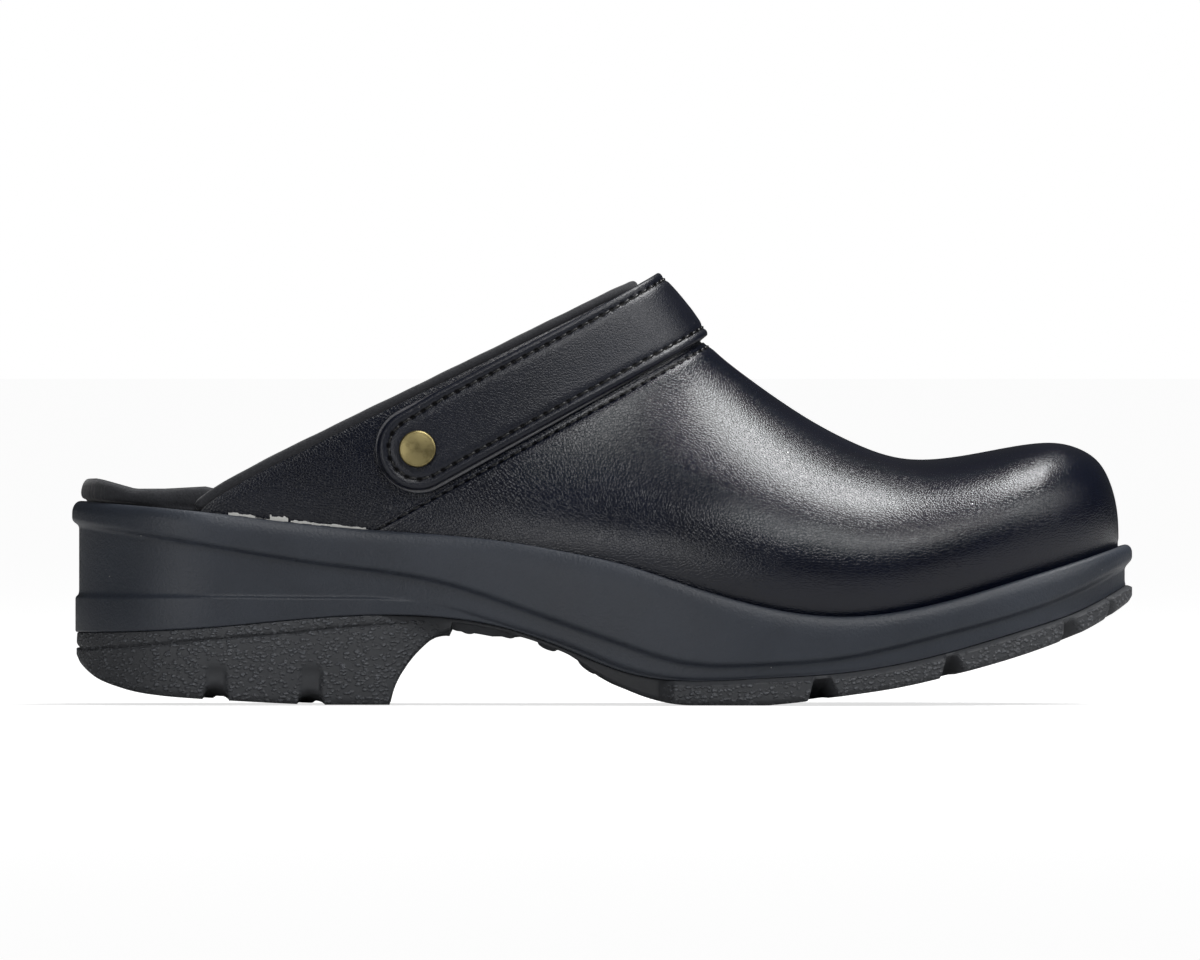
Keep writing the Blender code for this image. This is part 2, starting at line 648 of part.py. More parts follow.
def strap_sections():
    """Lengths along the strap and its half width there, with round ends past the rivets."""
    lengths, turns = strap_line()
    rivet = float(np.interp(-RIVET_TURN, -turns, lengths))
    sections = []
    for turn in np.linspace(math.pi / 2, RIVET_TURN, 13):
        length = float(np.interp(-turn, -turns, lengths))
        half = STRAP_HALF_RIDGE + (STRAP_HALF_END - STRAP_HALF_RIDGE) * length / rivet
        sections.append((length, half))
    for angle in np.radians((25, 46, 64, 78)):
        sections.append((rivet + STRAP_END * math.sin(angle), STRAP_HALF_END * math.cos(angle)))
    return [(length, half, float(np.interp(length, lengths, turns))) for length, half in sections]


def make_strap(material, parent):
    """Folded leather band over the instep, with round ends and a rivet hole in each."""
    half_sections = strap_sections()
    places = [(LATERAL, *section) for section in reversed(half_sections)]
    places += [(MEDIAL, *section) for section in half_sections[1:]]
    loops = []
    for side, length, half, turn in places:
        lift = math.exp(-(length / STRAP_LIFT_REACH) ** 2)
        ring = []
        for across, height in STRAP_OUTLINE:
            row, place = strap_place(side, turn, across * half)
            rise = lift * (STRAP_LIFT * (1 - across) + STRAP_LIFT_REAR * max(-across, 0.0) ** 1.5)
            away = GAP - VAMP_STEP + height + rise
            ring.append(off_skin(row, side, place, away))
        loops.append(ring)
    return add_object("strap", loft(loops, capped=True), material, parent)


def add_hole(piece, place, axis, parent):
    """Cut a rivet hole through a piece."""
    bm = bmesh.new()
    bmesh.ops.create_cone(bm, cap_ends=True, segments=RIVET_SIDES, radius1=HOLE_RADIUS * MM,
                          radius2=HOLE_RADIUS * MM, depth=HOLE_DEPTH * MM)
    mesh = bpy.data.meshes.new(piece.name + "_hole")
    bm.to_mesh(mesh)
    bm.free()
    cutter = bpy.data.objects.new(mesh.name, mesh)
    cutter.location = Vector(place) * MM
    cutter.rotation_euler = Vector(axis).to_track_quat("Z", "Y").to_euler()
    cutter.parent = parent
    cutter.hide_render = True
    cutter.display_type = "WIRE"
    bpy.context.scene.collection.objects.link(cutter)
    cut = piece.modifiers.new("rivet hole", "BOOLEAN")
    cut.operation = "DIFFERENCE"
    cut.object = cutter


def make_rivet(name, side, pieces, material, parent):
    """Turned rivet: domed cap on the strap, post through strap and quarter, washer inside."""
    row = strap_row(RIVET_TURN)
    place = skin(row, side, RIVET_TURN)
    axis = skin_normal(row, side, RIVET_TURN)
    seat = GAP - VAMP_STEP + STRAP_THICK + GAP
    tail = -VAMP_STEP - LEATHER - 1.5 * GAP
    profile = [(0, seat + CAP_HIGH), (0.45 * CAP_RADIUS, seat + 0.9 * CAP_HIGH),
               (0.85 * CAP_RADIUS, seat + 0.55 * CAP_HIGH), (CAP_RADIUS, seat + 0.2 * CAP_HIGH),
               (CAP_RADIUS, seat), (POST_RADIUS, seat), (POST_RADIUS, tail), (TAIL_RADIUS, tail),
               (TAIL_RADIUS, tail - TAIL_THICK), (0, tail - TAIL_THICK)]
    bm = bmesh.new()
    verts = [bm.verts.new((radius * MM, 0, height * MM)) for radius, height in profile]
    edges = [bm.edges.new(pair) for pair in zip(verts, verts[1:])]
    bmesh.ops.spin(bm, geom=verts + edges, axis=(0, 0, 1), cent=(0, 0, 0), angle=2 * math.pi,
                   steps=RIVET_SIDES, use_merge=True)
    rivet = add_object(name, bm, material, parent)
    rivet.location = Vector(place) * MM
    rivet.rotation_euler = Vector(axis).to_track_quat("Z", "Y").to_euler()
    for piece in pieces:
        add_hole(piece, place, axis, parent)


def main():
    for old in list(bpy.data.objects):
        bpy.data.objects.remove(old)
    clog = bpy.data.objects.new("clog", None)
    bpy.context.scene.collection.objects.link(clog)

    leather = make_material("black leather", (0.010, 0.010, 0.012), 0.35)
    microfibre = make_material("black microfibre", (0.014, 0.014, 0.016), 0.85)
    foam = make_material("charcoal polyurethane", (0.024, 0.025, 0.030), 0.55)
    rubber = make_material("charcoal tread rubber", (0.020, 0.021, 0.024), 0.75)
    brass = make_material("antique brass", (0.42, 0.33, 0.16), 0.35, 1.0)

    make_outsole(rubber, clog)
    make_midsole(foam, clog)
    make_insole(microfibre, clog)
    upper = make_upper(leather, clog)
    make_collar_binding(microfibre, clog)
    strap = make_strap(leather, clog)
    make_rivet("rivet_lateral", LATERAL, (upper, strap), brass, clog)
    make_rivet("rivet_medial", MEDIAL, (upper, strap), brass, clog)


main()
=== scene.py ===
"""Leather work clog: the finished surfaces, sewing and studio, built around the part's own solids.

Table sizes are in millimetres. +X points to the toe, +Y to the inner side of the foot, +Z up.
"""

import math
from collections import namedtuple

import bpy
import numpy as np
from bpy.props import FloatProperty, FloatVectorProperty, PointerProperty
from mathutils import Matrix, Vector


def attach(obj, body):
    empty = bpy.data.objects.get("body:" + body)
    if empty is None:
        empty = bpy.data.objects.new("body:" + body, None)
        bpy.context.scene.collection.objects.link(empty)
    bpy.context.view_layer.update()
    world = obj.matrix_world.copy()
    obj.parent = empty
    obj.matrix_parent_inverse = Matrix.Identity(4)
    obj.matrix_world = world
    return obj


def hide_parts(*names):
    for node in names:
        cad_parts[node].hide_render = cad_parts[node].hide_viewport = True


bl_info = {
    "name": "Leather work clog",
    "version": (1, 0, 0),
    "blender": (4, 5, 0),
    "location": "3D View > Sidebar > Clog",
    "description": "Builds a leather work clog, its sewing and a studio around the part's solids",
    "category": "Add Mesh",
}

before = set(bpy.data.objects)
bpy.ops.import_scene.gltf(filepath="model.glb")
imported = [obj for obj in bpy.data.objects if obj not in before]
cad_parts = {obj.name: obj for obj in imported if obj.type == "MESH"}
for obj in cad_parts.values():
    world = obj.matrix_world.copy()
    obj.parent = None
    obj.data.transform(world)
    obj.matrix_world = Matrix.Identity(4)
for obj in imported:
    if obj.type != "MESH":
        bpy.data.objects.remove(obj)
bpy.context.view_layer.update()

MM = 0.001
LATERAL, MEDIAL = -1, 1
HALF = 144.0
GAP = 0.3                   # clearance between pieces that lie against each other
SEAT_GAP = 0.45             # clearance of the upper in the tray
LIP_WIDTH = 3.4             # midsole lip, from the outline to the tray wall
LIP_ROUND = 2.5             # the lip's rolled edge, from the outline in
LIP_SHARE, LIP_FALL = 0.55, 8.0     # height of that edge: share of the band, and the most
STEP_IN = 0.4               # the wall between band and rib is sunk this much further
SEAM_GAP = 0.06             # outsole to midsole at their seam
TRAY_DEPTH = 3.2            # from the lip's top to the tray floor
EDGE = 0.4                  # small rounding of a moulded edge
LEATHER = 1.8               # wall of the quarter
VAMP_STEP = 1.0             # the vamp laps over the quarter
STRAP_THICK = 2.8
WELD = 0.01
FAR = 50.0                  # distance given to places that have no seam or lip near
PROBE = 0.01                # step of the slopes taken on the upper's skin

# Plan outline: a half ellipse at the heel, a spline along each side, a superellipse round the toe
HEEL_ROUND, HEEL_MIDDLE, HEEL_HALF_WIDTH = 40.0, 2.0, 38.5
TIP_Y = 7.0
TOE_POWER = {LATERAL: 2.2, MEDIAL: 2.3}
Edge = namedtuple("Edge", "x y")
SIDE_EDGE = {
    LATERAL: [Edge(-104, -36.5), Edge(-70, -36.5), Edge(-35, -39.5), Edge(0, -46.5), Edge(25, -51.5),
              Edge(42, -53.0)],
    MEDIAL: [Edge(-104, 40.5), Edge(-70, 38.0), Edge(-35, 33.5), Edge(0, 37.0), Edge(25, 45.0),
             Edge(42, 50.5), Edge(60, 53.0)],
}
SPINE_ENDS = (-108.0, 84.0)
LUG_LEAN, LEAN_FROM_TO = 16.0, (-5.0, 40.0)

# Heights of the lines that run round the sole, heel to toe
Side = namedtuple("Side", "x lip band rib under")
SIDE_LINES = [
    Side(-144, 55.2, 48.8, 29.2, 19.4),
    Side(-108, 52.2, 43.1, 29.2, 20.8),
    Side(-76, 48.5, 37.9, 28.9, 23.6),
    Side(-42, 45.9, 32.5, 26.4, 23.6),
    Side(-26, 44.2, 27.4, 21.6, 20.8),
    Side(-9, 41.3, 21.3, 16.0, 14.8),
    Side(6, 38.0, 16.0, 10.0, 9.0),
    Side(22, 32.8, 11.3, 7.2, 6.6),
    Side(42, 27.0, 10.7, 7.7, 7.2),
    Side(64, 24.0, 12.4, 9.3, 8.6),
    Side(90, 27.3, 18.2, 14.0, 13.2),
    Side(115, 34.5, 25.2, 21.2, 20.4),
    Side(130, 39.2, 31.0, 26.4, 25.6),
    Side(144, 43.9, 38.3, 33.6, 33.2),
]
Inset = namedtuple("Inset", "x low wall")
MIDSOLE_INSETS = [
    Inset(-144, 0.9, 1.5), Inset(-62, 0.9, 1.5), Inset(-35, 3.0, 1.8), Inset(0, 4.0, 1.6),
    Inset(22, 2.4, 1.5), Inset(144, 1.8, 1.6),
]
Dish = namedtuple("Dish", "x tray cup")
DISHES = [
    Dish(-115, 6.0, 11.0), Dish(-75, 3.6, 6.0), Dish(-40, 1.8, 4.0), Dish(0, 0.8, 3.0), Dish(60, 0.0, 2.0),
    Dish(144, 0.0, 1.5),
]
Rim = namedtuple("Rim", "x base rim top")
RIMS = [
    Rim(-144, 4.0, 2.3, 61.2), Rim(-137, 4.0, 2.3, 61.3), Rim(-127, 5.6, 4.6, 58.4),
    Rim(-119, 7.6, 7.4, 58.4), Rim(-108, 8.2, 8.4, 59.0), Rim(-95, 8.2, 8.4, 56.0),
    Rim(-75, 8.0, 8.2, 52.0), Rim(-42, 8.0, 8.0, 48.9),
]
RIM_OVER_LIP, RIM_ROUND, INSOLE_SEAT = 3.0, 2.6, 0.4

# Outsole: side of the tread behind the outline, groove below the heel band, slots between the lugs
Tread = namedtuple("Tread", "x inset")
TREAD_SIDE = [
    Tread(-144, 1.2), Tread(-62, 0.6), Tread(-44, 7.0), Tread(-5, 8.0), Tread(14, 6.0), Tread(19.5, 0.4),
    Tread(120, 0.2), Tread(144, 0.0),
]
Groove = namedtuple("Groove", "x drop depth bevel")
GROOVES = [
    Groove(-144, 4.6, 0.9, 0.2), Groove(-107, 3.2, 0.9, 0.2), Groove(-84, 3.5, 0.9, 0.2),
    Groove(-58, 2.6, 0.9, 0.2), Groove(-50, 2.2, 0.0, 0.2), Groove(14, 1.8, 0.0, 0.2),
    Groove(20, 1.8, 0.0, 1.7), Groove(144, 1.9, 0.0, 1.6),
]
GROOVE_HALF = 0.7
Slot = namedtuple("Slot", "back_mouth back_top front_top front_mouth depth scallop")
SLOTS = [
    Slot(-108.3, -106.7, -102.7, -101.1, 3.5, 1.2), Slot(-82.6, -81.0, -77.0, -75.4, 3.1, 1.2),
    Slot(55.6, 57.8, 60.8, 64.9, 6.4, 0.0), Slot(91.7, 93.6, 95.3, 99.3, 5.2, 0.0),
    Slot(124.9, 125.7, 127.6, 131.0, 4.2, 0.0), Slot(137.1, 138.1, 138.5, 139.8, 3.0, 0.0),
]
MIDDLE_SHARE, LUG_SHARE, TREAD_ROUND = 0.72, 0.78, 1.0
Bar = namedtuple("Bar", "x high")
BARS = [Bar(-36.5, 2.6), Bar(-26.2, 1.5), Bar(-15.1, 1.1), Bar(-4.2, 0.9)]
WEB = [
    Bar(-46, 0.0), Bar(-42.5, 1.2), Bar(-40, 2.2), Bar(-30, 2.1), Bar(-27, 1.4), Bar(-24, 0.2),
    Bar(-19, 0.0), Bar(-5, 0.0), Bar(-1, 0.5), Bar(3, 0.4), Bar(8, 0.0),
]
BAR_HALF = 2.6              # half width of a round cross bar under the shank, on the web between the bars
SLOT_RISE = 0.35            # share of its depth that a slot keeps at its inner end
RIB_PITCH, RIB_TOP, RIB_CLEAR = 9.0, 4.6, 0.35      # cross ribs of the recessed tread
LUG_RECESS = 1.5            # the wall between two forefoot lugs stands this far behind them
SCALLOP_TOP = 11.0          # height above the floor to which the heel's notches run up its side
SHANK_SMOOTH = (-50, -44, 14, 18)   # the granules fade out towards the shank and come back after it
WALL_ROWS = slice(14, -5)   # rows of the outsole's table that lie on its outer wall
Ground = namedtuple("Ground", "x z")
HEEL_GROUND = [
    Ground(-144, 13.5), Ground(-138.6, 8.0), Ground(-133, 5.3), Ground(-127.7, 3.7), Ground(-122, 2.7),
    Ground(-111, 1.7), Ground(-95, 0.8), Ground(-84, 0.25), Ground(-76, 0.0),
]
HEEL_FRONT = -57.5
BREAST_LENGTH, BREAST_HIGH, BREAST_POWER = 16.7, 20.2, 1.5
Middle = namedtuple("Middle", "x rise")
TREAD_MIDDLE = [Middle(-144, 1.0), Middle(-60, 1.0), Middle(-50, 0.0), Middle(24, 0.0), Middle(45, 2.2),
                Middle(144, 1.8)]
FOREFOOT_FLAT = (24.0, 45.0)
BALL_LENGTH, BALL_HIGH, BALL_POWER = 32.0, 13.0, 1.9
TOE_GROUND = [
    Ground(45, 0.0), Ground(54, 0.9), Ground(64, 2.3), Ground(80, 4.7), Ground(96, 8.4), Ground(112, 12.9),
    Ground(124, 17.1), Ground(134, 21.7), Ground(144, 28.3),
]
SHANK_SKIN = 1.2

# Ribs of the upper: where each starts on the outline and where it crosses the ridge of the last
Rib = namedtuple("Rib", "row base ridge_x ridge_y ridge_z side_power")
RIBS = [
    Rib(0, -110.0, 9.7, 4.0, 114.4, 0.72),
    Rib(1, -86.0, 20.2, 4.0, 107.9, 0.80),
    Rib(2, -61.7, 28.3, 4.5, 98.0, 0.88),
    Rib(3, -34.0, 40.5, 5.0, 87.8, 0.94),
    Rib(4, -6.0, 55.0, 6.0, 77.9, 0.96),
    Rib(5, 22.0, 69.0, 7.0, 70.5, 0.94),
    Rib(6, 48.0, 82.0, 7.5, 66.5, 0.92),
    Rib(7, 72.0, 96.0, 8.0, 67.0, 0.88),
    Rib(8, 95.0, 110.0, 8.0, 69.5, 0.84),
    Rib(9, 115.0, 121.5, 7.5, 70.8, 0.80),
    Rib(10, 128.0, 129.5, 7.0, 69.2, 0.78),
    Rib(11, 136.0, 135.4, 7.0, 64.9, 0.76),
    Rib(12, 140.5, 138.8, 7.0, 57.6, 0.76),
    Rib(13, 143.0, 140.1, 7.0, 50.6, 0.80),
    Rib(14, 144.0, 140.3, 7.0, 44.4, 0.90),
]
TOE_ROW, SEAM_ROW = 14.0, 1.95
SWELL_HIGH, SWELL_SHARE = 9.0, 0.25     # the widest place of a rib above the lip
FOOT_BACK, FOOT_TURN = 11.0, 0.12       # the topline's lower end bows back and stands steeper
RIB_COLUMNS = 72                        # points of a rib from the lip to the ridge
QUARTER_ROUND, VAMP_ROUND = 0.7, 0.3    # rounding of a cut edge
VAMP_CLEAR, VAMP_SKIVE = 0.06, (0.55, 4.0)  # over the quarter; the edge is thinned by so much, so far in

# Strap, rivets and the roll along the topline
STRAP_ROW, STRAP_ROW_SHIFT = 1.09, 0.02
RIVET_TURN = math.radians(12.6)
STRAP_HALF_END, STRAP_HALF_RIDGE, STRAP_END = 11.8, 11.0, 11.2
STRAP_CLEAR = 0.05                      # rows between the strap's front edge and the vamp's step
STRAP_LIFT, STRAP_LIFT_REAR, STRAP_LIFT_REACH = 0.5, 2.2, 26.0
STRAP_RIM, REAR_RIM = 0.8, 0.2          # the strap's backing shows this far outside its folded face
STITCH_INSET, REAR_INSET = 3.5, 2.8     # from the strap's outline to its stitch row
REAR_CHANGE = 14.0                      # over this length before a rivet the rear edge becomes the front's
SEAM_STITCH = 1.7                       # from the vamp's edge to its stitch row
CAP_RADIUS, CAP_HIGH, POST_RADIUS, TAIL_RADIUS, TAIL_THICK = 5.0, 1.9, 2.0, 4.4, 0.9
ROLL_TALL, ROLL_THICK, ROLL_LAP = 3.0, 3.6, 0.7
ROLL_END = 1.6                          # rounding of the roll's two ends
FOLD_FALL, FOLD_REACH = 1.1, 1.5        # the strap's folded face rounds down by this much, this far in
CHANNEL_DEEP, CHANNEL_HALF = 0.42, 0.9  # the sewing pulls a channel into it
BACKING = 1.2                           # top of the strap's backing
Layer = namedtuple("Layer", "inset height raw")
STRAP_EDGE = [
    Layer(STRAP_RIM, 1.5, 0.0), Layer(STRAP_RIM + 0.15, 1.15, 0.0), Layer(STRAP_RIM - 0.15, BACKING, 1.0),
    Layer(0.25, BACKING, 1.0), Layer(0.06, 1.05, 1.0), Layer(0.0, 0.6, 1.0), Layer(0.12, 0.15, 1.0),
    Layer(0.5, 0.0, 1.0),
]
STRAP_THREAD, VAMP_THREAD = 0.6, 0.62   # middle of the thread below the leather's face
STITCH_HALF, STITCH_TAPER = 0.36, 0.75  # half a stitch as a share of the pitch; how thin its ends get
STITCH_ARCH, STITCH_DIP = 0.55, 1.3     # its middle stands up and its ends go down, in half threads
Turn = namedtuple("Turn", "radius height rubbed")

# White cement along the feather line: from each x on, this high over the lip
Trace = namedtuple("Trace", "x high")
CEMENT_RUN, CEMENT_LOW = (-105.0, -45.0), -0.4
CEMENT = [
    Trace(-101.3, 0.7), Trace(-94.0, 0.15), Trace(-90.2, 1.15), Trace(-85.2, 0.0), Trace(-84.6, 0.75),
    Trace(-76.0, 0.6), Trace(-70.0, 0.45), Trace(-64.2, 0.0), Trace(-61.4, 0.55), Trace(-51.7, 0.0),
]

# Studio, in metres and watts: soft boxes that face one point, a floor, and faint light from all round
Lamp = namedtuple("Lamp", "name place width depth power")
LAMP_AIM = Vector((0.03, 0.0, 0.06))
LAMPS = [
    Lamp("softbox_overhead", (0.44, 0.27, 1.46), 0.9, 0.5, 20.0),
    Lamp("softbox_strap", (0.28, -1.05, 1.30), 0.6, 0.6, 8.0),
    Lamp("softbox_heel_side", (-0.83, -1.34, 0.32), 0.67, 0.67, 4.2),
    Lamp("softbox_toe_side", (1.29, -0.87, 1.46), 0.95, 0.5, 9.0),
    Lamp("softbox_toe_end", (1.40, -0.35, 0.75), 0.6, 0.6, 3.6),
]
FLOOR_SIZE, FLOOR_DROP, AIR_LIGHT = 60.0, 0.0002, 0.04

# Camera: square to the shoe's outer side, just above the floor, with a long lens
VIEW_MIDDLE = Vector((-0.0006, 0.0, 0.0607))
VIEW_DISTANCE, VIEW_RISE, VIEW_WIDTH = 12.0, math.radians(0.3), 0.3259
SENSOR = 36.0


def linear(code):
    """sRGB hex code as linear red, green, blue."""
    values = [int(code[i:i + 2], 16) / 255 for i in (1, 3, 5)]
    return tuple(v / 12.92 if v <= 0.04045 else ((v + 0.055) / 1.055) ** 2.4 for v in values)


class ClogSizes(bpy.types.PropertyGroup):
    """Sizes of the sewing and the grain."""
    stitch_pitch: FloatProperty(
        name="Stitch pitch", description="From needle hole to needle hole", default=0.0035, unit="LENGTH")
    thread: FloatProperty(
        name="Thread", description="Width of the sewing thread", default=0.0008, unit="LENGTH")
    leather_grain: FloatProperty(
        name="Leather grain", description="Width of a pebble of the grain", default=0.0008, unit="LENGTH")
    tread_grain: FloatProperty(
        name="Tread grain", description="Width of a granule on the outsole", default=0.0010, unit="LENGTH")


class ClogColours(bpy.types.PropertyGroup):
    """Colours of the materials."""
    leather: FloatVectorProperty(
        name="Leather", description="Pigment of the upper", subtype="COLOR", default=linear("#080d1b"))
    microfibre: FloatVectorProperty(
        name="Microfibre", description="Insole and collar", subtype="COLOR", default=linear("#2b2c30"))
    midsole: FloatVectorProperty(
        name="Midsole", description="Moulded foam", subtype="COLOR", default=linear("#2d323b"))
    outsole: FloatVectorProperty(
        name="Outsole", description="Moulded tread", subtype="COLOR", default=linear("#434549"))
    brass: FloatVectorProperty(
        name="Brass", description="Rivet caps", subtype="COLOR", default=linear("#a3966a"))


def spline(rows, column, level_ends=False):
    """Cubic spline through one column of a table, against the table's first column."""
    keys = np.array([row[0] for row in rows], float)
    values = np.array([getattr(row, column) for row in rows], float)
    steps = np.diff(keys)
    slopes = np.diff(values) / steps
    count = len(keys)
    system = np.zeros((count, count))
    target = np.zeros(count)
    system[0, 0] = system[-1, -1] = 1
    for i in range(1, count - 1):
        system[i, i - 1:i + 2] = steps[i - 1], 2 * (steps[i - 1] + steps[i]), steps[i]
        target[i] = 6 * (slopes[i] - slopes[i - 1])
    if level_ends:
        system[0, :2] = 2 * steps[0], steps[0]
        system[-1, -2:] = steps[-1], 2 * steps[-1]
        target[0], target[-1] = 6 * slopes[0], -6 * slopes[-1]
    bend = np.linalg.solve(system, target)

    def value(key):
        key = np.clip(key, keys[0], keys[-1])
        i = np.clip(np.searchsorted(keys, key) - 1, 0, count - 2)
        high = (key - keys[i]) / steps[i]
        low = 1 - high
        curve = (low ** 3 - low) * bend[i] + (high ** 3 - high) * bend[i + 1]
        return low * values[i] + high * values[i + 1] + curve * steps[i] ** 2 / 6

    return value


def straight(rows, column):
    """Straight lines through one column of a table, against the table's first column."""
    keys = [row[0] for row in rows]
    values = [getattr(row, column) for row in rows]
    return lambda key: np.interp(key, keys, values)


lip_top = spline(SIDE_LINES, "lip")
band_low = spline(SIDE_LINES, "band")
rib_top = spline(SIDE_LINES, "rib")
under = spline(SIDE_LINES, "under")
low_inset = straight(MIDSOLE_INSETS, "low")
wall_inset = straight(MIDSOLE_INSETS, "wall")
tray_dish = straight(DISHES, "tray")
cup_depth = straight(DISHES, "cup")
base_inset = straight(RIMS, "base")
rim_inset = straight(RIMS, "rim")
rim_top_back = straight(RIMS, "top")
tread_inset = straight(TREAD_SIDE, "inset")
groove_drop = straight(GROOVES, "drop")
groove_depth = straight(GROOVES, "depth")
top_bevel = straight(GROOVES, "bevel")
heel_ground = spline(HEEL_GROUND, "z")
toe_ground = spline(TOE_GROUND, "z")
middle_rise = straight(TREAD_MIDDLE, "rise")
side_spline = {side: spline(rows, "y", level_ends=True) for side, rows in SIDE_EDGE.items()}
rib_base = spline(RIBS, "base")
rib_power = spline(RIBS, "side_power")
ridge_lines = [spline(RIBS, column) for column in ("ridge_x", "ridge_y", "ridge_z")]


def unit(vectors):
    return vectors / np.maximum(np.linalg.norm(vectors, axis=-1, keepdims=True), 1e-12)


def soft_step(low, high, value):
    share = np.clip((value - low) / (high - low), 0, 1)
    return share * share * (3 - 2 * share)


def path_length(path):
    """Length along a path, or along each column of a table of points, from its first point."""
    steps = np.linalg.norm(np.diff(path, axis=0), axis=-1)
    return np.concatenate([np.zeros((1, *steps.shape[1:])), np.cumsum(steps, axis=0)])


def edge_y(side, x):
    """Plan outline of a side at x."""
    sides = []
    for s, rows in SIDE_EDGE.items():
        back = np.clip((rows[0].x - x) / HEEL_ROUND, 0, 1)
        heel = HEEL_MIDDLE + s * HEEL_HALF_WIDTH * np.sqrt(1 - back ** 2)
        front = np.clip((x - rows[-1].x) / (HALF - rows[-1].x), 0, 1)
        toe = TIP_Y + (rows[-1].y - TIP_Y) * (1 - front ** TOE_POWER[s]) ** (1 / TOE_POWER[s])
        sides.append(np.where(x < rows[0].x, heel, np.where(x > rows[-1].x, toe, side_spline[s](x))))
    return np.where(np.asarray(side) == LATERAL, sides[0], sides[1])


def edge_point(side, x, inset=0.0):
    """Points of the plan outline, moved in along the outline's normal."""
    x = np.clip(x, -HALF, HALF)
    small = 0.001
    turn = np.arccos(-x / HALF)
    before, after = [-HALF * np.cos(np.clip(turn + step, 0, math.pi)) for step in (-small, small)]
    along = unit(np.stack([after - before, edge_y(side, after) - edge_y(side, before)], -1))
    side = np.broadcast_to(side, x.shape)
    normal = np.stack([-along[..., 1] * side, along[..., 0] * side], -1)
    ends = (turn < small) | (turn > math.pi - small)
    tip = np.stack([np.sign(x), np.zeros_like(x)], -1)
    normal = np.where(ends[..., None], tip, normal)
    return np.stack([x, edge_y(side, x)], -1) - np.broadcast_to(inset, x.shape)[..., None] * normal


def spine_point(x):
    """Centre line of the sole, where the cross ribs of station x meet; the forefoot ribs lean back."""
    x = np.clip(x - np.interp(x, LEAN_FROM_TO, (0.0, LUG_LEAN)), *SPINE_ENDS)
    return np.stack([x, (edge_y(LATERAL, x) + edge_y(MEDIAL, x)) / 2], -1)


def round_trip(stations):
    """Stations and sides of a loop: the lateral side from heel to toe, then the medial side back."""
    return np.concatenate([stations, stations[::-1]]), np.repeat((LATERAL, MEDIAL), len(stations))


def side_loop(stations, inset, height):
    """Loop along the outline; the inset is a size or takes the station, the height takes x and station."""
    x, side = round_trip(stations)
    point = edge_point(side, x, inset(x) if callable(inset) else inset)
    return np.column_stack([point, np.broadcast_to(height(point[:, 0], x), x.shape)])


def floor_loop(stations, inset, share, height):
    """Loop at a share of the way from the centre line to the outline; height takes the same two values."""
    x, side = round_trip(stations)
    middle = spine_point(x)
    point = middle + (edge_point(side, x, inset) - middle) * share
    return np.column_stack([point, np.broadcast_to(height(point[:, 0], x), x.shape)])


def moved(line, by=0.0):
    """A line of the sole moved by a distance, as the inset or the height of a loop."""
    return lambda x, station=None: line(x) + by


def tray_floor(share, rise=0.0):
    """Height of the midsole's dished tray at a share of the way from the centre line to the outline."""
    return lambda x, s: lip_top(x) - TRAY_DEPTH - tray_dish(x) * (1 - share ** 2) + rise


def even_stations(count):
    """Stations from heel to toe, evenly spaced along the sides and closing up at both ends."""
    shares = np.linspace(-1, 1, count)
    return HALF * (shares - shares ** 7 / 7) * 7 / 6


def rounded(loops, steps=4):
    """Round the corners between loops: each entry is a loop and the size of its corner's arc."""
    points = [loop for loop, _ in loops]
    table = [points[0]]
    for before, (corner, size), after in zip(points, loops[1:], points[2:]):
        if size == 0:
            table.append(corner)
            continue
        arms = []
        for arm in (before - corner, after - corner):
            length = np.linalg.norm(arm, axis=-1, keepdims=True)
            arms.append(arm * np.minimum(size / np.maximum(length, 1e-6), 0.48))
        for t in np.linspace(0, 1, steps):
            table.append(corner + arms[0] * (1 - t) ** 2 + arms[1] * t ** 2)
    table.append(points[-1])
    return np.array(table)


def lay_grid(name, points, attributes=None, angle=40, faces=None):
    """Lay the rows and columns of a grid primitive on a table of points, and close it up.

    Attributes are per point, faces holds a material's index per face. Seams and poles are welded, the faces
    turned out, and edges below the angle shaded smooth.
    """
    rows, columns = points.shape[:2]
    bpy.ops.object.select_all(action="DESELECT")
    bpy.ops.mesh.primitive_grid_add(x_subdivisions=columns - 1, y_subdivisions=rows - 1, size=1)
    piece = bpy.context.object
    piece.name = piece.data.name = name
    piece.data.vertices.foreach_set("co", (points * MM).astype(np.float32).ravel())
    for key, values in (attributes or {}).items():
        layer = piece.data.attributes.new(key, "FLOAT", "POINT")
        layer.data.foreach_set("value", np.broadcast_to(values, (rows, columns)).astype(np.float32).ravel())
    if faces is not None:
        piece.data.polygons.foreach_set("material_index", faces)
    piece.data.update()
    bpy.ops.object.mode_set(mode="EDIT")
    bpy.ops.mesh.select_all(action="SELECT")
    bpy.ops.mesh.remove_doubles(threshold=WELD * MM)
    bpy.ops.mesh.dissolve_degenerate(threshold=WELD * MM / 10)
    bpy.ops.mesh.normals_make_consistent(inside=False)
    bpy.ops.object.mode_set(mode="OBJECT")
    bpy.ops.object.shade_smooth_by_angle(angle=math.radians(angle))
    return piece


def seat(piece, materials, node=None):
    """Give a finished piece its materials and its place on the body, and hide the solid it stands for."""
    for material in materials:
        piece.data.materials.append(material)
    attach(piece, "root")
    if node:
        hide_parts(node)
    return piece


def feed(tree, node, inputs):
    """Fill a node's inputs, or link them to a socket or to another node's first output."""
    for key, value in inputs.items():
        if isinstance(value, bpy.types.Node):
            value = next(socket for socket in value.outputs if socket.enabled)
        if isinstance(value, bpy.types.NodeSocket):
            tree.links.new(value, node.inputs[key])
        else:
            node.inputs[key].default_value = value


def add(tree, kind, inputs=None, **settings):
    """Add a shader node with its settings and links."""
    node = tree.nodes.new("ShaderNode" + kind)
    for key, value in settings.items():
        setattr(node, key, value)
    feed(tree, node, inputs or {})
    return node


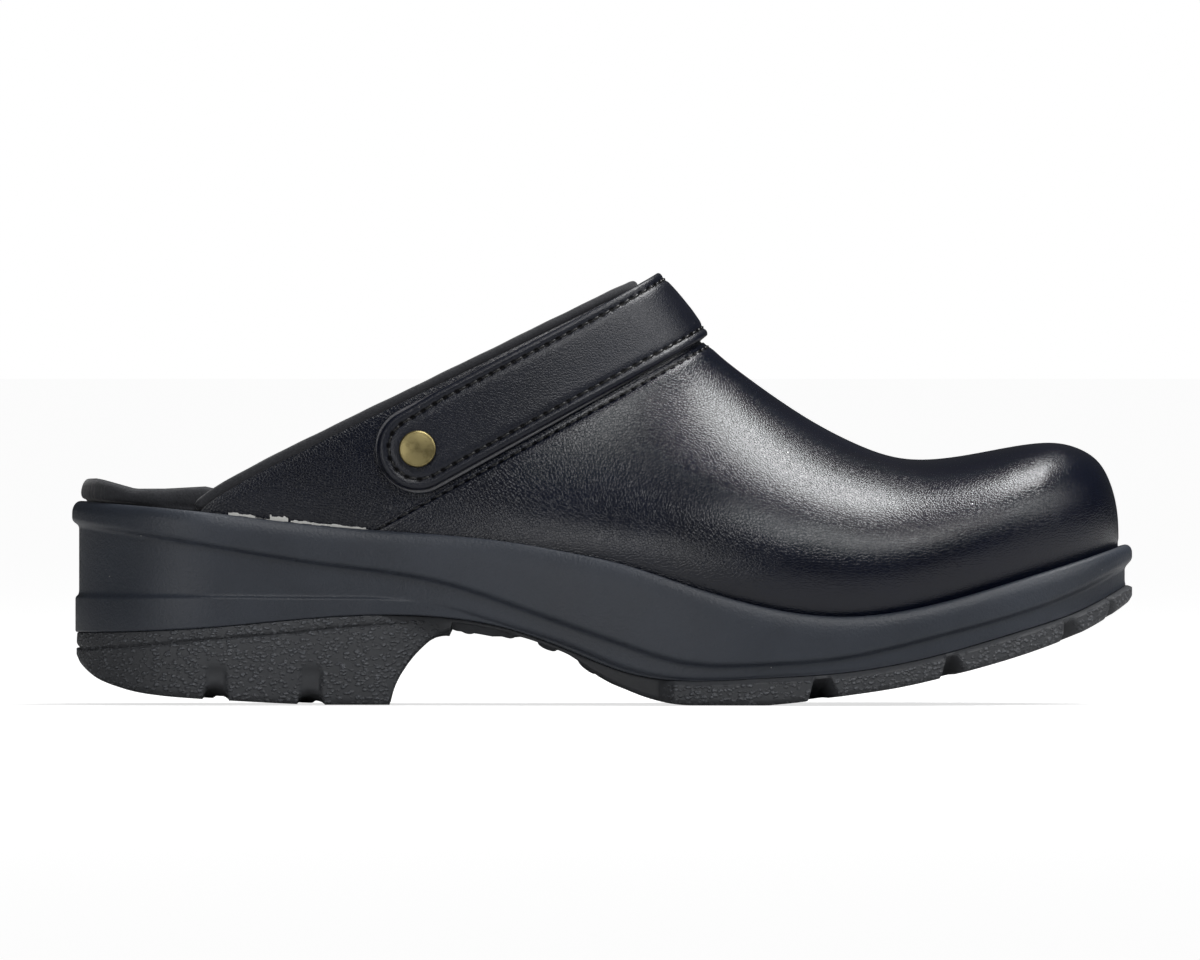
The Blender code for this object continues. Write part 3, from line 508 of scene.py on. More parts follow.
def new_material(name):
    """A material and its shader, whose IOR of 1.5 suits leather finish, polyurethane and polyester."""
    material = bpy.data.materials.new(name)
    material.use_nodes = True
    return material, material.node_tree, material.node_tree.nodes["Principled BSDF"]


def per_mm(size):
    """Texture scale for a pattern of this size in millimetres."""
    return 1000 / size


FALLING = {"To Min": 1.0, "To Max": 0.0}        # a range that runs down from one to zero


def mottle_and_painted_light(tree, place, value, span, colour, shares, amount):
    """A colour between two shares of itself as a value runs over a span, under scattered pale dust.

    Few cells hold a speck, each a fraction of a millimetre wide. A noise as the value gives a mottled tone;
    a height as the value gives painted light, with raised places lighter and hollows darker.
    """
    tone = add(tree, "ValToRGB", {"Fac": value})
    for stop, position, share in zip(tone.color_ramp.elements, span, shares):
        stop.position = position
        stop.color = (*[share * c for c in colour], 1)
    cells = add(tree, "TexVoronoi", {"Vector": place, "Scale": per_mm(5.0)})
    near = add(tree, "Math", {0: cells, 1: 0.035}, operation="LESS_THAN")
    chance = add(tree, "SeparateColor", {"Color": cells.outputs["Color"]})
    some = add(tree, "Math", {0: chance.outputs["Red"], 1: amount}, operation="LESS_THAN")
    speck = add(tree, "Math", {0: near, 1: some}, operation="MULTIPLY")
    return add(tree, "Mix", {"Factor": speck, "A": tone, "B": (*linear("#8d8d8c"), 1)}, data_type="RGBA")


def grain_leather(name, sewn=False, cemented=False, gloss_range=(0.18, 0.3)):
    """Corrected-grain cowhide, pigmented black and pressed: fine pebbles, a satin wax gloss, pale dust."""
    sizes, colours = bpy.context.scene.clog_sizes, bpy.context.scene.clog_colours
    material, tree, shader = new_material(name)
    place = add(tree, "TexCoord").outputs["Object"]
    # The pebbles are drawn a little coarser than pressed grain is, so that they show
    grain = sizes.leather_grain / MM
    warp = add(tree, "TexNoise", {"Vector": place, "Scale": per_mm(2.2 * grain), "Detail": 2.0})
    bent = add(tree, "MixRGB", {"Fac": 0.0006, "Color1": place, "Color2": warp.outputs["Color"]},
               blend_type="ADD")
    pebble = add(tree, "TexVoronoi", {"Vector": bent, "Scale": per_mm(grain)}, feature="DISTANCE_TO_EDGE")
    plump = add(tree, "MapRange", {"Value": pebble, "From Max": 0.22}, interpolation_type="SMOOTHSTEP")
    fine = add(tree, "TexNoise", {"Vector": place, "Scale": per_mm(grain / 2.0), "Detail": 3.0})
    patch = add(tree, "TexNoise", {"Vector": place, "Scale": per_mm(28.0), "Detail": 3.0})
    colour = mottle_and_painted_light(tree, place, patch, (0.3, 0.75), colours.leather, (0.8, 1.25), 0.16)
    height = add(tree, "Math", {0: fine, 1: 1.2, 2: plump}, operation="MULTIPLY_ADD")
    if sewn:
        # The sewing pulls the leather in: a shallow channel along the row and a dent at each needle hole,
        # painted near black as the shade inside it; the cut edge of the strap's backing is raw, pale and
        # fuzzy
        along, away, raw = [add(tree, "Attribute", attribute_name=key).outputs["Fac"]
                            for key in ("seam_along", "seam_away", "raw_edge")]
        halves = add(tree, "Math", {0: along, 1: sizes.stitch_pitch / MM / 2}, operation="PINGPONG")
        slim = add(tree, "Math", {0: halves, 1: 0.62}, operation="MULTIPLY")
        dent = add(tree, "CombineXYZ", {"X": slim, "Y": away})
        reach = add(tree, "VectorMath", {0: dent}, operation="LENGTH")
        hole = add(tree, "MapRange", {"Value": reach, "From Min": 0.3, "From Max": 0.85, **FALLING},
                   interpolation_type="SMOOTHSTEP")
        side = add(tree, "Math", {0: away}, operation="ABSOLUTE")
        channel = add(tree, "MapRange", {"Value": side, "From Min": 0.2, "From Max": 1.1, **FALLING},
                      interpolation_type="SMOOTHSTEP")
        fuzz = add(tree, "TexNoise", {"Vector": place, "Scale": per_mm(0.5), "Detail": 3.0})
        pale = add(tree, "Math", {0: raw, 1: fuzz}, operation="MULTIPLY")
        # The raw edge is pale in itself; each needle hole is painted near black, a painted shade inside it
        for factor, code in ((pale, "#77777a"), (hole, "#050506")):
            colour = add(tree, "Mix", {"Factor": factor, "A": colour, "B": (*linear(code), 1)},
                         data_type="RGBA")
        for factor, depth in ((hole, -5.0), (channel, -1.5)):
            height = add(tree, "Math", {0: factor, 1: depth, 2: height}, operation="MULTIPLY_ADD")
        dull = add(tree, "Math", {0: hole, 1: -0.42, 2: 0.5}, operation="MULTIPLY_ADD")
        feed(tree, shader, {"Specular IOR Level": dull})
    if cemented:
        # White cement squeezed out along the feather line, on the outer side below the heel of the quarter
        above = add(tree, "Attribute", attribute_name="above_lip").outputs["Fac"]
        split = add(tree, "SeparateXYZ", {"Vector": place})
        run = add(tree, "MapRange", {"Value": split.outputs["X"], "From Min": CEMENT_RUN[0] * MM,
                                     "From Max": CEMENT_RUN[1] * MM})
        bead = add(tree, "ValToRGB", {"Fac": run})
        bead.color_ramp.interpolation = "CONSTANT"
        for trace in CEMENT:
            share = (trace.x - CEMENT_RUN[0]) / (CEMENT_RUN[1] - CEMENT_RUN[0])
            bead.color_ramp.elements.new(share).color = (trace.high, trace.high, trace.high, 1)
        bead.color_ramp.elements[0].color = bead.color_ramp.elements[-1].color = (0, 0, 0, 1)
        crumb = add(tree, "TexNoise", {"Vector": place, "Scale": per_mm(1.6), "Detail": 3.0})
        ragged = add(tree, "MapRange", {"Value": crumb, "From Min": 0.35, "From Max": 0.65, "To Min": 0.6,
                                        "To Max": 1.3})
        limit = add(tree, "Math", {0: bead, 1: ragged}, operation="MULTIPLY")
        below = add(tree, "Math", {0: above, 1: limit}, operation="LESS_THAN")
        over = add(tree, "Math", {0: above, 1: CEMENT_LOW}, operation="GREATER_THAN")
        outer = add(tree, "Math", {0: split.outputs["Y"], 1: 0.0}, operation="LESS_THAN")
        line = add(tree, "Math", {0: below, 1: over}, operation="MULTIPLY")
        white = add(tree, "Math", {0: line, 1: outer}, operation="MULTIPLY")
        colour = add(tree, "Mix", {"Factor": white, "A": colour, "B": (*linear("#e6e6e2"), 1)},
                     data_type="RGBA")
    gloss = add(tree, "MapRange", {"Value": fine, "To Min": gloss_range[0], "To Max": gloss_range[1]})
    bump = add(tree, "Bump", {"Height": height, "Strength": 0.28, "Distance": 0.00012})
    feed(tree, shader, {"Base Color": colour, "Roughness": gloss, "Normal": bump})
    return material


def moulded_foam(name):
    """Polyurethane foam skin from a spark-eroded mould: charcoal, matte, with a fine grit and pale dust."""
    material, tree, shader = new_material(name)
    place = add(tree, "TexCoord").outputs["Object"]
    grit = add(tree, "TexNoise", {"Vector": place, "Scale": per_mm(0.8), "Detail": 3.0, "Roughness": 0.6})
    patch = add(tree, "TexNoise", {"Vector": place, "Scale": per_mm(24.0), "Detail": 4.0})
    pigment = bpy.context.scene.clog_colours.midsole
    colour = mottle_and_painted_light(tree, place, patch, (0.3, 0.7), pigment, (0.88, 1.15), 0.3)
    gloss = add(tree, "MapRange", {"Value": patch, "To Min": 0.40, "To Max": 0.52})
    bump = add(tree, "Bump", {"Height": grit, "Strength": 0.6, "Distance": 0.00025})
    feed(tree, shader, {"Base Color": colour, "Roughness": gloss, "Normal": bump})
    return material


def grained_tread(name):
    """Compact polyurethane tread from an etched mould: raised granules on its sides, smooth in its slots."""
    material, tree, shader = new_material(name)
    place = add(tree, "TexCoord").outputs["Object"]
    size = bpy.context.scene.clog_sizes.tread_grain / MM
    flat = add(tree, "Mapping", {"Vector": place, "Scale": (0.6, 0.6, 1.0)})
    warp = add(tree, "TexNoise", {"Vector": place, "Scale": per_mm(1.4 * size), "Detail": 2.0})
    bent = add(tree, "MixRGB", {"Fac": 0.0009, "Color1": flat, "Color2": warp.outputs["Color"]},
               blend_type="ADD")
    granule = add(tree, "TexVoronoi", {"Vector": bent, "Scale": per_mm(size)})
    worm = add(tree, "TexNoise", {"Vector": place, "Scale": per_mm(0.8 * size), "Detail": 2.0,
                                  "Distortion": 0.8})
    crown = add(tree, "MapRange", {"Value": granule, "From Min": 0.15, "From Max": 0.6, **FALLING},
                interpolation_type="SMOOTHSTEP")
    height = add(tree, "Math", {0: crown, 1: worm}, operation="MULTIPLY")
    rough = add(tree, "Attribute", attribute_name="grained").outputs["Fac"]
    height = add(tree, "Math", {0: height, 1: rough}, operation="MULTIPLY")
    pigment = bpy.context.scene.clog_colours.outsole
    # Painted highlight and shade: the colour follows the granules' height, lighter on their crowns and
    # darker between them; the smooth slots, ledge and shank keep the darker end
    colour = mottle_and_painted_light(tree, place, height, (0.1, 0.5), pigment, (0.75, 2.0), 0.3)
    gloss = add(tree, "MapRange", {"Value": height, "From Max": 0.6, "To Min": 0.6, "To Max": 0.42})
    bump = add(tree, "Bump", {"Height": height, "Strength": 1.0, "Distance": 0.0010})
    feed(tree, shader, {"Base Color": colour, "Roughness": gloss, "Normal": bump})
    return material


def brushed_microfibre(name):
    """Non-woven microfibre, sanded: a dull charcoal nap with tiny creases and a soft sheen at its edges."""
    material, tree, shader = new_material(name)
    place = add(tree, "TexCoord").outputs["Object"]
    # The nap is drawn far coarser than its fibres are, so that it shows
    nap = add(tree, "TexNoise", {"Vector": place, "Scale": per_mm(0.5), "Detail": 4.0, "Roughness": 0.65})
    stretched = add(tree, "Mapping", {"Vector": place, "Scale": (1.0, 1.0, 0.22)})
    crease = add(tree, "TexNoise", {"Vector": stretched, "Scale": per_mm(1.5), "Detail": 2.0,
                                    "Distortion": 0.8})
    pigment = bpy.context.scene.clog_colours.microfibre
    colour = mottle_and_painted_light(tree, place, nap, (0.3, 0.75), pigment, (0.7, 1.35), 0.2)
    height = add(tree, "Math", {0: nap, 1: 0.6, 2: crease}, operation="MULTIPLY_ADD")
    bump = add(tree, "Bump", {"Height": height, "Strength": 0.7, "Distance": 0.00035})
    feed(tree, shader, {"Base Color": colour, "Roughness": 0.82, "Normal": bump, "Sheen Weight": 0.25,
                        "Sheen Roughness": 0.4, "Specular IOR Level": 0.35})
    return material


def bonded_thread(name):
    """Bonded polyester sewing thread: black, twisted, with a wet gloss on the turns of its ply."""
    material, tree, shader = new_material(name)
    place = add(tree, "TexCoord").outputs["Object"]
    ply = add(tree, "TexWave", {"Vector": place, "Scale": per_mm(7.0), "Distortion": 1.5},
              bands_direction="DIAGONAL")
    bump = add(tree, "Bump", {"Height": ply.outputs["Fac"], "Strength": 0.5, "Distance": 0.00008})
    feed(tree, shader, {"Base Color": (*linear("#0e0e10"), 1), "Roughness": 0.34, "Normal": bump})
    return material


def antique_brass(name):
    """Stamped brass, plated and antiqued: a warm dull gold, browner where the patina was not rubbed off."""
    material, tree, shader = new_material(name)
    place = add(tree, "TexCoord").outputs["Object"]
    cloud = add(tree, "TexNoise", {"Vector": place, "Scale": per_mm(2.4), "Detail": 5.0, "Roughness": 0.6})
    rubbed = add(tree, "Attribute", attribute_name="rubbed").outputs["Fac"]
    patina = add(tree, "Math", {0: cloud, 1: rubbed}, operation="MULTIPLY")
    tone = add(tree, "ValToRGB", {"Fac": patina})
    dark, light = tone.color_ramp.elements
    dark.position, light.position = 0.12, 0.5
    dark.color = (*linear("#6b5f3c"), 1)
    light.color = (*bpy.context.scene.clog_colours.brass, 1)
    scratch = add(tree, "TexNoise", {"Vector": place, "Scale": per_mm(0.3), "Detail": 2.0})
    gloss = add(tree, "MapRange", {"Value": cloud, "To Min": 0.3, "To Max": 0.5})
    bump = add(tree, "Bump", {"Height": scratch, "Strength": 0.12, "Distance": 0.00005})
    feed(tree, shader, {"Base Color": tone, "Metallic": 1.0, "Roughness": gloss, "Normal": bump})
    return material


def material_once(make, name, **options):
    """The material of this name, made the first time that a piece asks for it."""
    return bpy.data.materials.get(name) or make(name, **options)


def slots_at(station):
    """Per station: depth of the slots, hollow of the heel notches, recess between lugs, and smoothness."""
    depth, hollow, recess, smooth = np.zeros((4, *np.shape(station)))
    for slot in SLOTS:
        share = soft_step(0, 1, np.interp(station, slot[:4], (0, 1, 1, 0)))
        if slot.scallop > 0:
            middle, half = (slot.front_mouth + slot.back_mouth) / 2, (slot.front_mouth - slot.back_mouth) / 2
            depth += slot.depth * np.sqrt(np.clip(1 - ((station - middle) / half) ** 2, 0, 1))
            hollow += slot.scallop * share
        else:
            depth += slot.depth * share
            end = slot.front_top + 0.45 * (slot.front_mouth - slot.front_top)
            corners = (slot.back_top - 0.5, slot.back_top, slot.front_top, end)
            recess += LUG_RECESS * soft_step(0, 1, np.interp(station, corners, (0, 1, 1, 0)))
        smooth = np.maximum(smooth, share)
    return depth, hollow, recess, smooth


def ground(x):
    """Height of the tread above the floor: heel bevel, heel, breast, shank, ball, toe spring."""
    skin_height = under(x) - SHANK_SKIN
    left = np.clip((HEEL_FRONT + BREAST_LENGTH - x) / BREAST_LENGTH, 0, 1)
    breast = BREAST_HIGH * (1 - left ** BREAST_POWER) ** (1 / BREAST_POWER)
    ball = BALL_HIGH * (np.maximum(FOREFOOT_FLAT[0] - x, 0) / BALL_LENGTH) ** BALL_POWER
    spring = np.where(x > FOREFOOT_FLAT[1], toe_ground(x), 0.0)
    return np.select(
        [x < HEEL_GROUND[-1].x, x < HEEL_FRONT, x < HEEL_FRONT + BREAST_LENGTH, x < FOREFOOT_FLAT[0]],
        [heel_ground(x), 0.0, np.minimum(breast, skin_height), np.minimum(ball, skin_height)], spring)


def tread_ribs(station):
    """Share of a cross rib's height at a station of the recessed tread."""
    away = np.abs((station + RIB_PITCH / 2) % RIB_PITCH - RIB_PITCH / 2)
    return soft_step(RIB_TOP / 2 + 1.2, RIB_TOP / 2, away)


def tread_stations():
    """Even stations with closer ones at every slot wall, bar, rib and the heel's front."""
    close = [np.linspace(slot.back_mouth - 0.8, slot.front_mouth + 0.8, 24) for slot in SLOTS]
    close += [bar.x + BAR_HALF * np.sin(np.linspace(-1.6, 1.6, 15)) for bar in BARS]
    close += [np.linspace(HEEL_FRONT - 1, HEEL_FRONT + 3, 12), np.linspace(14, 21, 15)]
    ribs = np.arange(-135, 140, RIB_PITCH)
    flank = RIB_TOP / 2 + np.array((0.0, 0.4, 0.8, 1.2))
    close += [rib + sign * flank for rib in ribs for sign in (-1, 1)]
    stations = np.unique(np.round(np.concatenate([even_stations(220), *close]), 3))
    keep = np.concatenate([[True], np.diff(stations) > 0.16])
    keep[-1] = True
    return stations[keep]


class CLOG_OT_outsole(bpy.types.Operator):
    """Moulded tread: heel block with two notches, breast, bars under the shank, forefoot lugs"""
    bl_idname = "clog.outsole"
    bl_label = "Outsole"

    def execute(self, context):
        stations = tread_stations()
        top = moved(under, -SEAM_GAP)

        def low(x, s):
            return np.minimum(ground(x) + slots_at(s)[0], under(x) - SHANK_SKIN)

        def bar(s):
            places = np.array([b.x for b in BARS])
            nearest = np.argmin(np.abs(s[:, None] - places), axis=1)
            away = np.abs(s - places[nearest]) / BAR_HALF
            high = np.array([b.high for b in BARS])[nearest] * np.sqrt(np.clip(1 - away ** 2.4, 0, 1))
            return np.maximum(high, np.interp(s, *zip(*WEB)))

        def tread(share):
            def height(x, s):
                rise = middle_rise(x)
                ribbed = rise - np.maximum(rise - RIB_CLEAR, 0.0) * tread_ribs(s)
                cut = SLOT_RISE * slots_at(s)[0] if share >= LUG_SHARE else ribbed
                return np.minimum(ground(x) + cut, under(x) - SHANK_SKIN) - bar(s) * (share <= MIDDLE_SHARE)
            return height

        def wall(share, most=2 * HALF, least=0.0):
            def height(x, s):
                thick = top(x, s) - low(x, s)
                return low(x, s) + np.minimum(np.maximum(least - low(x, s), most), share * thick)
            return height

        def groove_line(shift):
            def height(x, s):
                thick = top(x, s) - low(x, s)
                middle = np.maximum(under(x) - groove_drop(x), low(x, s) + 0.5 * thick)
                middle = np.minimum(middle, top(x, s) - np.minimum(0.2 * thick, 1.8))
                return middle + shift * np.minimum(GROOVE_HALF, 0.08 * thick)
            return height

        def side(s):
            return tread_inset(s) + slots_at(s)[2]

        def hollow(s):
            return side(s) + slots_at(s)[1]

        loops = [(floor_loop(stations, 1.2, share, tread(share)), 0.5)
                 for share in (0, 0.36, MIDDLE_SHARE, LUG_SHARE)]
        walls = [
            (moved(hollow, TREAD_ROUND), low, 0.6),
            (hollow, wall(0.2, most=1.2), 0.8),
            (hollow, wall(0.3, most=1.4, least=SCALLOP_TOP - 2.4), 1.2),
            (side, wall(0.42, most=1.6, least=SCALLOP_TOP), 1.2),
            (side, groove_line(-1), 0.3),
            (lambda s: side(s) + groove_depth(s), groove_line(0), 0.2),
            (side, groove_line(1), 0.9),
            (lambda s: np.maximum(tread_inset(s) + top_bevel(s), side(s) + 0.1), top, 0.4),
        ]
        loops += [(side_loop(stations, inset, height), size) for inset, height, size in walls]
        loops += [(floor_loop(stations, 2.0, share, top), 0.0) for share in (0.67, 0.33, 0)]
        table = rounded(loops)
        # Granules cover the outer wall below the ledge; slots, notches and the ledge itself are smooth
        s = round_trip(stations)[0]
        wall_top = side_loop(stations, side, groove_line(1))[:, 2]
        outside = np.zeros(len(table))
        outside[WALL_ROWS] = 1.0
        reach = np.where(s < HEEL_FRONT, soft_step(SCALLOP_TOP + 1.5, SCALLOP_TOP - 1.0, table[..., 2]), 1.0)
        grained = outside[:, None] * (1 - slots_at(s)[3] * reach)
        ledge = soft_step(0.3, -0.3, table[..., 2] - wall_top)
        grained = grained * np.where(s < HEEL_FRONT, 1.0, ledge)
        grained = grained * np.interp(s, SHANK_SMOOTH, (1, 0, 0, 1))
        piece = lay_grid("outsole_tread", table, {"grained": grained})
        seat(piece, [material_once(grained_tread, "polyurethane_tread_etched_mould")], "outsole")
        return {"FINISHED"}


def lip_fall(x):
    """Height of the lip's rolled edge."""
    return np.minimum(LIP_SHARE * (lip_top(x) - band_low(x)), LIP_FALL)


class CLOG_OT_midsole(bpy.types.Operator):
    """Moulded wedge with a rolled lip, an overhanging band, a heel rib and a tray for the insole"""
    bl_idname = "clog.midsole"
    bl_label = "Midsole"

    def execute(self, context):
        stations = even_stations(280)

        def lip_edge(share):
            return lambda x, s: lip_top(x) - lip_fall(x) * (1 - share)

        loops = [(floor_loop(stations, 2.0, share, moved(under)), 0.0) for share in (0, 0.33, 0.67)]
        walls = [
            (low_inset, moved(under), 0.6),
            (low_inset, moved(rib_top, -0.2), 0.6),
            (moved(wall_inset, STEP_IN), moved(rib_top, 0.5), 1.2),
            (moved(wall_inset, STEP_IN), moved(band_low, -0.3), 0.8),
            (0.0, moved(band_low, 0.9), 0.9),
            *[(LIP_ROUND * (1 - math.cos(a)), lip_edge(math.sin(a)), 0.0)
              for a in np.linspace(0, math.pi / 2, 11)],
            (LIP_WIDTH, moved(lip_top, -0.9), 0.5),
            (LIP_WIDTH, moved(lip_top, -TRAY_DEPTH), 0.4),
        ]
        loops += [(side_loop(stations, inset, height), size) for inset, height, size in walls]
        loops += [(floor_loop(stations, LIP_WIDTH, share, tray_floor(share)), 0.0)
                  for share in (0.82, 0.55, 0.28, 0)]
        piece = lay_grid("midsole_wedge", rounded(loops, steps=6))
        seat(piece, [material_once(moulded_foam, "polyurethane_foam_moulded")], "midsole")
        return {"FINISHED"}


class CLOG_OT_insole(bpy.types.Operator):
    """Padded footbed: dished in the tray, rolled over the lip round the heel"""
    bl_idname = "clog.insole"
    bl_label = "Insole"

    def execute(self, context):
        stations = even_stations(300)

        def rim_top(x):
            back = np.where(x < RIMS[-1].x, rim_top_back(x), 0.0)
            return np.maximum(back, lip_top(x) + RIM_OVER_LIP)

        def cup(share):
            return lambda x, s: rim_top(x) - cup_depth(x) * (1 - share ** 2)

        loops = [(floor_loop(stations, LIP_WIDTH, share, tray_floor(share, INSOLE_SEAT)), 0.0)
                 for share in (0, 0.28, 0.55)]
        walls = [
            (moved(base_inset, EDGE), tray_floor(1.0, INSOLE_SEAT), 0.4),
            (base_inset, moved(lip_top, EDGE), 0.5),
            (moved(rim_inset, EDGE), moved(lip_top, 2 * EDGE), 0.7),
            (rim_inset, lambda x, s: np.minimum(lip_top(x) + RIM_ROUND, rim_top(x) - 1.4), 1.6),
            (moved(rim_inset, 1.0), moved(rim_top, -0.5), 1.6),
            (moved(rim_inset, 3.0), moved(rim_top), 1.6),
            (moved(rim_inset, 6.5), lambda x, s: rim_top(x) - 0.14 * cup_depth(x), 3.0),
        ]
        loops += [(side_loop(stations, inset, height), size) for inset, height, size in walls]
        inner = ((0.7, 4.0), (0.55, 6.0), (0.42, 6.0), (0.28, 6.0), (0.14, 6.0), (0, 0.0))
        loops += [(floor_loop(stations, LIP_WIDTH, share, cup(share)), size) for share, size in inner]
        piece = lay_grid("insole_footbed", rounded(loops, steps=5), angle=60)
        seat(piece, [material_once(brushed_microfibre, "microfibre_sanded")], "insole")
        return {"FINISHED"}


def rib_frame(row, side):
    """A rib's middle, widest place and ridge, and the angle at which it meets the lip."""
    station = np.minimum(rib_base(row), HALF)
    ridge = np.stack([line(row) for line in ridge_lines], -1)
    lip = lip_top(station)
    feet = [np.concatenate([edge_point(s, station, LIP_WIDTH + SEAT_GAP), lip[..., None]], -1)
            for s in (LATERAL, MEDIAL)]
    high = ridge[..., 2] - lip
    swell = np.minimum(SWELL_HIGH, SWELL_SHARE * high)
    lip_turn = np.arcsin(swell / (high - swell))
    spread = feet[1][..., 1] - feet[0][..., 1]
    share = np.where(spread > 0.02, (ridge[..., 1] - feet[0][..., 1]) / np.maximum(spread, 0.02), 0.5)
    middle = feet[0] + (feet[1] - feet[0]) * share[..., None]
    lift = (ridge - middle) * (swell / high)[..., None]
    foot = np.where((side == LATERAL)[..., None], feet[0], feet[1])
    reach = (foot - middle) / (np.cos(lip_turn) ** rib_power(row))[..., None]
    return middle + lift, reach, ridge - middle - lift, lip_turn


def spread_out(row, side, turn):
    return np.broadcast_arrays(np.asarray(row, float), np.asarray(side), np.asarray(turn, float))


def skin(row, side, turn):
    """Outer skin of the upper: row runs from the topline to the toe, turn from the lip up to the ridge."""
    row, side, turn = spread_out(row, side, turn)
    middle, reach, rise, lip_turn = rib_frame(row, side)
    turn = np.maximum(turn, -lip_turn)
    out = np.maximum(np.cos(turn), 0.0) ** rib_power(row)
    point = middle + reach * out[..., None] + rise * np.sin(turn)[..., None]
    climb = np.maximum(np.sin(turn) + np.sin(lip_turn), 0.0) / (1 + np.sin(lip_turn))
    bow = climb / (climb + FOOT_TURN) * np.maximum(1 - climb, 0.0) ** 1.5
    point[..., 0] -= FOOT_BACK * bow * np.maximum(1 - row / SEAM_ROW, 0.0)
    return point


def skin_normal(row, side, turn):
    """Outward normal of the skin."""
    row, side, turn = spread_out(row, side, turn)
    lip_turn = rib_frame(row, side)[3]
    low, high = np.maximum(turn - PROBE, -lip_turn), np.minimum(turn + PROBE, math.pi / 2 - PROBE / 2)
    up = skin(row, side, high) - skin(row, side, low)
    along = skin(row + PROBE, side, turn) - skin(np.maximum(row - PROBE, 0.0), side, turn)
    near_ridge = math.pi / 2 - PROBE
    ridge = turn > near_ridge
    across = skin(row, MEDIAL, near_ridge) - skin(row, LATERAL, near_ridge)
    up = np.where(ridge[..., None], across, up)
    side = np.where(ridge, LATERAL, side)
    normal = unit(np.cross(along, up) * -side[..., None])
    return np.where((row > TOE_ROW - 0.02)[..., None], (1.0, 0.0, 0.0), normal)


def off_skin(row, side, turn, away):
    return skin(row, side, turn) + skin_normal(row, side, turn) * np.asarray(away)[..., None]


def up_rib(row, side, turn):
    """Direction along a rib, from the lip towards the ridge."""
    return unit(skin(row, side, np.minimum(turn + PROBE, math.pi / 2)) - skin(row, side, turn - PROBE))


def lip_turns(row):
    return rib_frame(np.asarray(row, float), np.full(np.shape(row), LATERAL))[3]


def wall_rings(rows, edge_round, outer, inner, ramp=(0.0, 1.0)):
    """Closed rings round a leather wall: its outer face over the ridge and its inner face back, per row.

    The first row is a rounded cut edge, the last closes up, and the outer face ramps down towards the edge.
    """
    start = -lip_turns(rows)
    turns = start[:, None] + (math.pi / 2 - start[:, None]) * np.linspace(0, 1, RIB_COLUMNS)
    floor = lip_top(np.minimum(rib_base(rows), HALF)) - TRAY_DEPTH + GAP
    faces, from_edge = ([], []), []
    for side in (LATERAL, MEDIAL):
        edge = path_length(skin(rows[:, None], side, turns))
        top = outer - ramp[0] * (1 - soft_step(0.0, ramp[1], edge))
        middle = (top + inner) / 2
        share = np.sqrt(1 - (1 - np.clip(edge / edge_round, 0, 1)) ** 2)
        share[-1] = 0.0
        for face, limit in zip(faces, (top, inner)):
            half = off_skin(rows[:, None], side, turns, middle + (limit - middle) * share)
            foot = half[:, :1].copy()
            foot[..., 2] = floor[:, None]
            face.append(np.concatenate([foot, half], axis=1))
        from_edge.append(np.concatenate([edge[:, :1], edge], axis=1))
    outside, inside = [np.concatenate([a, b[:, -2::-1]], axis=1) for a, b in faces]
    rings = np.concatenate([outside, inside[:, ::-1], outside[:, :1]], axis=1)
    return rings, np.concatenate([from_edge[0], from_edge[1][:, -2::-1]], axis=1)


def near_path(points, path, reach=8.0):
    """Length along a path of the place nearest to each point, and how far off it is, at most reach."""
    along = path_length(path)
    flat = points.reshape(-1, points.shape[-1])
    low, high = path.min(0) - reach, path.max(0) + reach
    near = np.where(np.all((flat > low) & (flat < high), axis=1))[0]
    length, away = np.zeros(len(flat)), np.full(len(flat), reach)
    for part in np.array_split(near, max(len(near) // 1000, 1)):
        gaps = ((flat[part, None] - path[None]) ** 2).sum(-1)
        best = np.argmin(gaps, axis=1)
        length[part] = along[best]
        away[part] = np.minimum(np.sqrt(gaps[np.arange(len(part)), best]), reach)
    return length.reshape(points.shape[:-1]), away.reshape(points.shape[:-1])


def vamp_seam():
    """The vamp's stitch row: rows, sides and turns of points along it."""
    turns = np.linspace(-float(lip_turns(SEAM_ROW)), math.pi / 2, 500)
    rows = SEAM_ROW + np.linspace(0, 0.35, 60)
    halves = []
    for side in (LATERAL, MEDIAL):
        edge = path_length(skin(rows[:, None], side, turns))
        row = np.array([np.interp(SEAM_STITCH, edge[:, i], rows) for i in range(len(turns))])
        halves.append((row, np.full(len(turns), side), turns))
    return [np.concatenate([a, b[-2::-1]]) for a, b in zip(*halves)]


class CLOG_OT_upper(bpy.types.Operator):
    """Leather upper: a quarter and lining wall from collar to toe, and the vamp lapped over it"""
    bl_idname = "clog.upper"
    bl_label = "Upper"

    def execute(self, context):
        face = 2 * RIB_COLUMNS + 1
        edge = np.array((0, 0.004, 0.01, 0.018, 0.028, 0.04, 0.055, 0.075, 0.1, 0.13))
        toe = np.linspace(13, TOE_ROW, 14)
        rows = np.concatenate([edge, np.linspace(0.17, 13, 125)[:-1], toe])
        table, _ = wall_rings(rows, QUARTER_ROUND, -VAMP_STEP, -VAMP_STEP - LEATHER)
        above = table[..., 2] - lip_top(table[..., 0])
        above[:, face:] = FAR
        lining = np.tile((np.arange(2 * face) >= face - 1).astype(np.int32), len(rows) - 1)
        piece = lay_grid("quarter_and_lining", table, {"above_lip": above}, faces=lining)
        materials = [material_once(grain_leather, "cowhide_corrected_grain_lasted", cemented=True),
                     material_once(brushed_microfibre, "microfibre_sanded")]
        seat(piece, materials, "upper")

        rows = np.concatenate([SEAM_ROW + edge, SEAM_ROW + np.linspace(0.16, 0.6, 12),
                               np.linspace(SEAM_ROW + 0.68, 13, 112)[:-1], toe])
        table, from_edge = wall_rings(rows, VAMP_ROUND, 0.0, -VAMP_STEP + VAMP_CLEAR, VAMP_SKIVE)
        row, side, turn = vamp_seam()
        along, _ = near_path(table, skin(row, side, turn))
        away = np.full(table.shape[:2], FAR)
        away[:, :face] = from_edge - SEAM_STITCH
        piece = lay_grid("vamp", table, {"seam_along": along, "seam_away": away})
        seat(piece, [material_once(grain_leather, "cowhide_corrected_grain_sewn", sewn=True)])
        return {"FINISHED"}


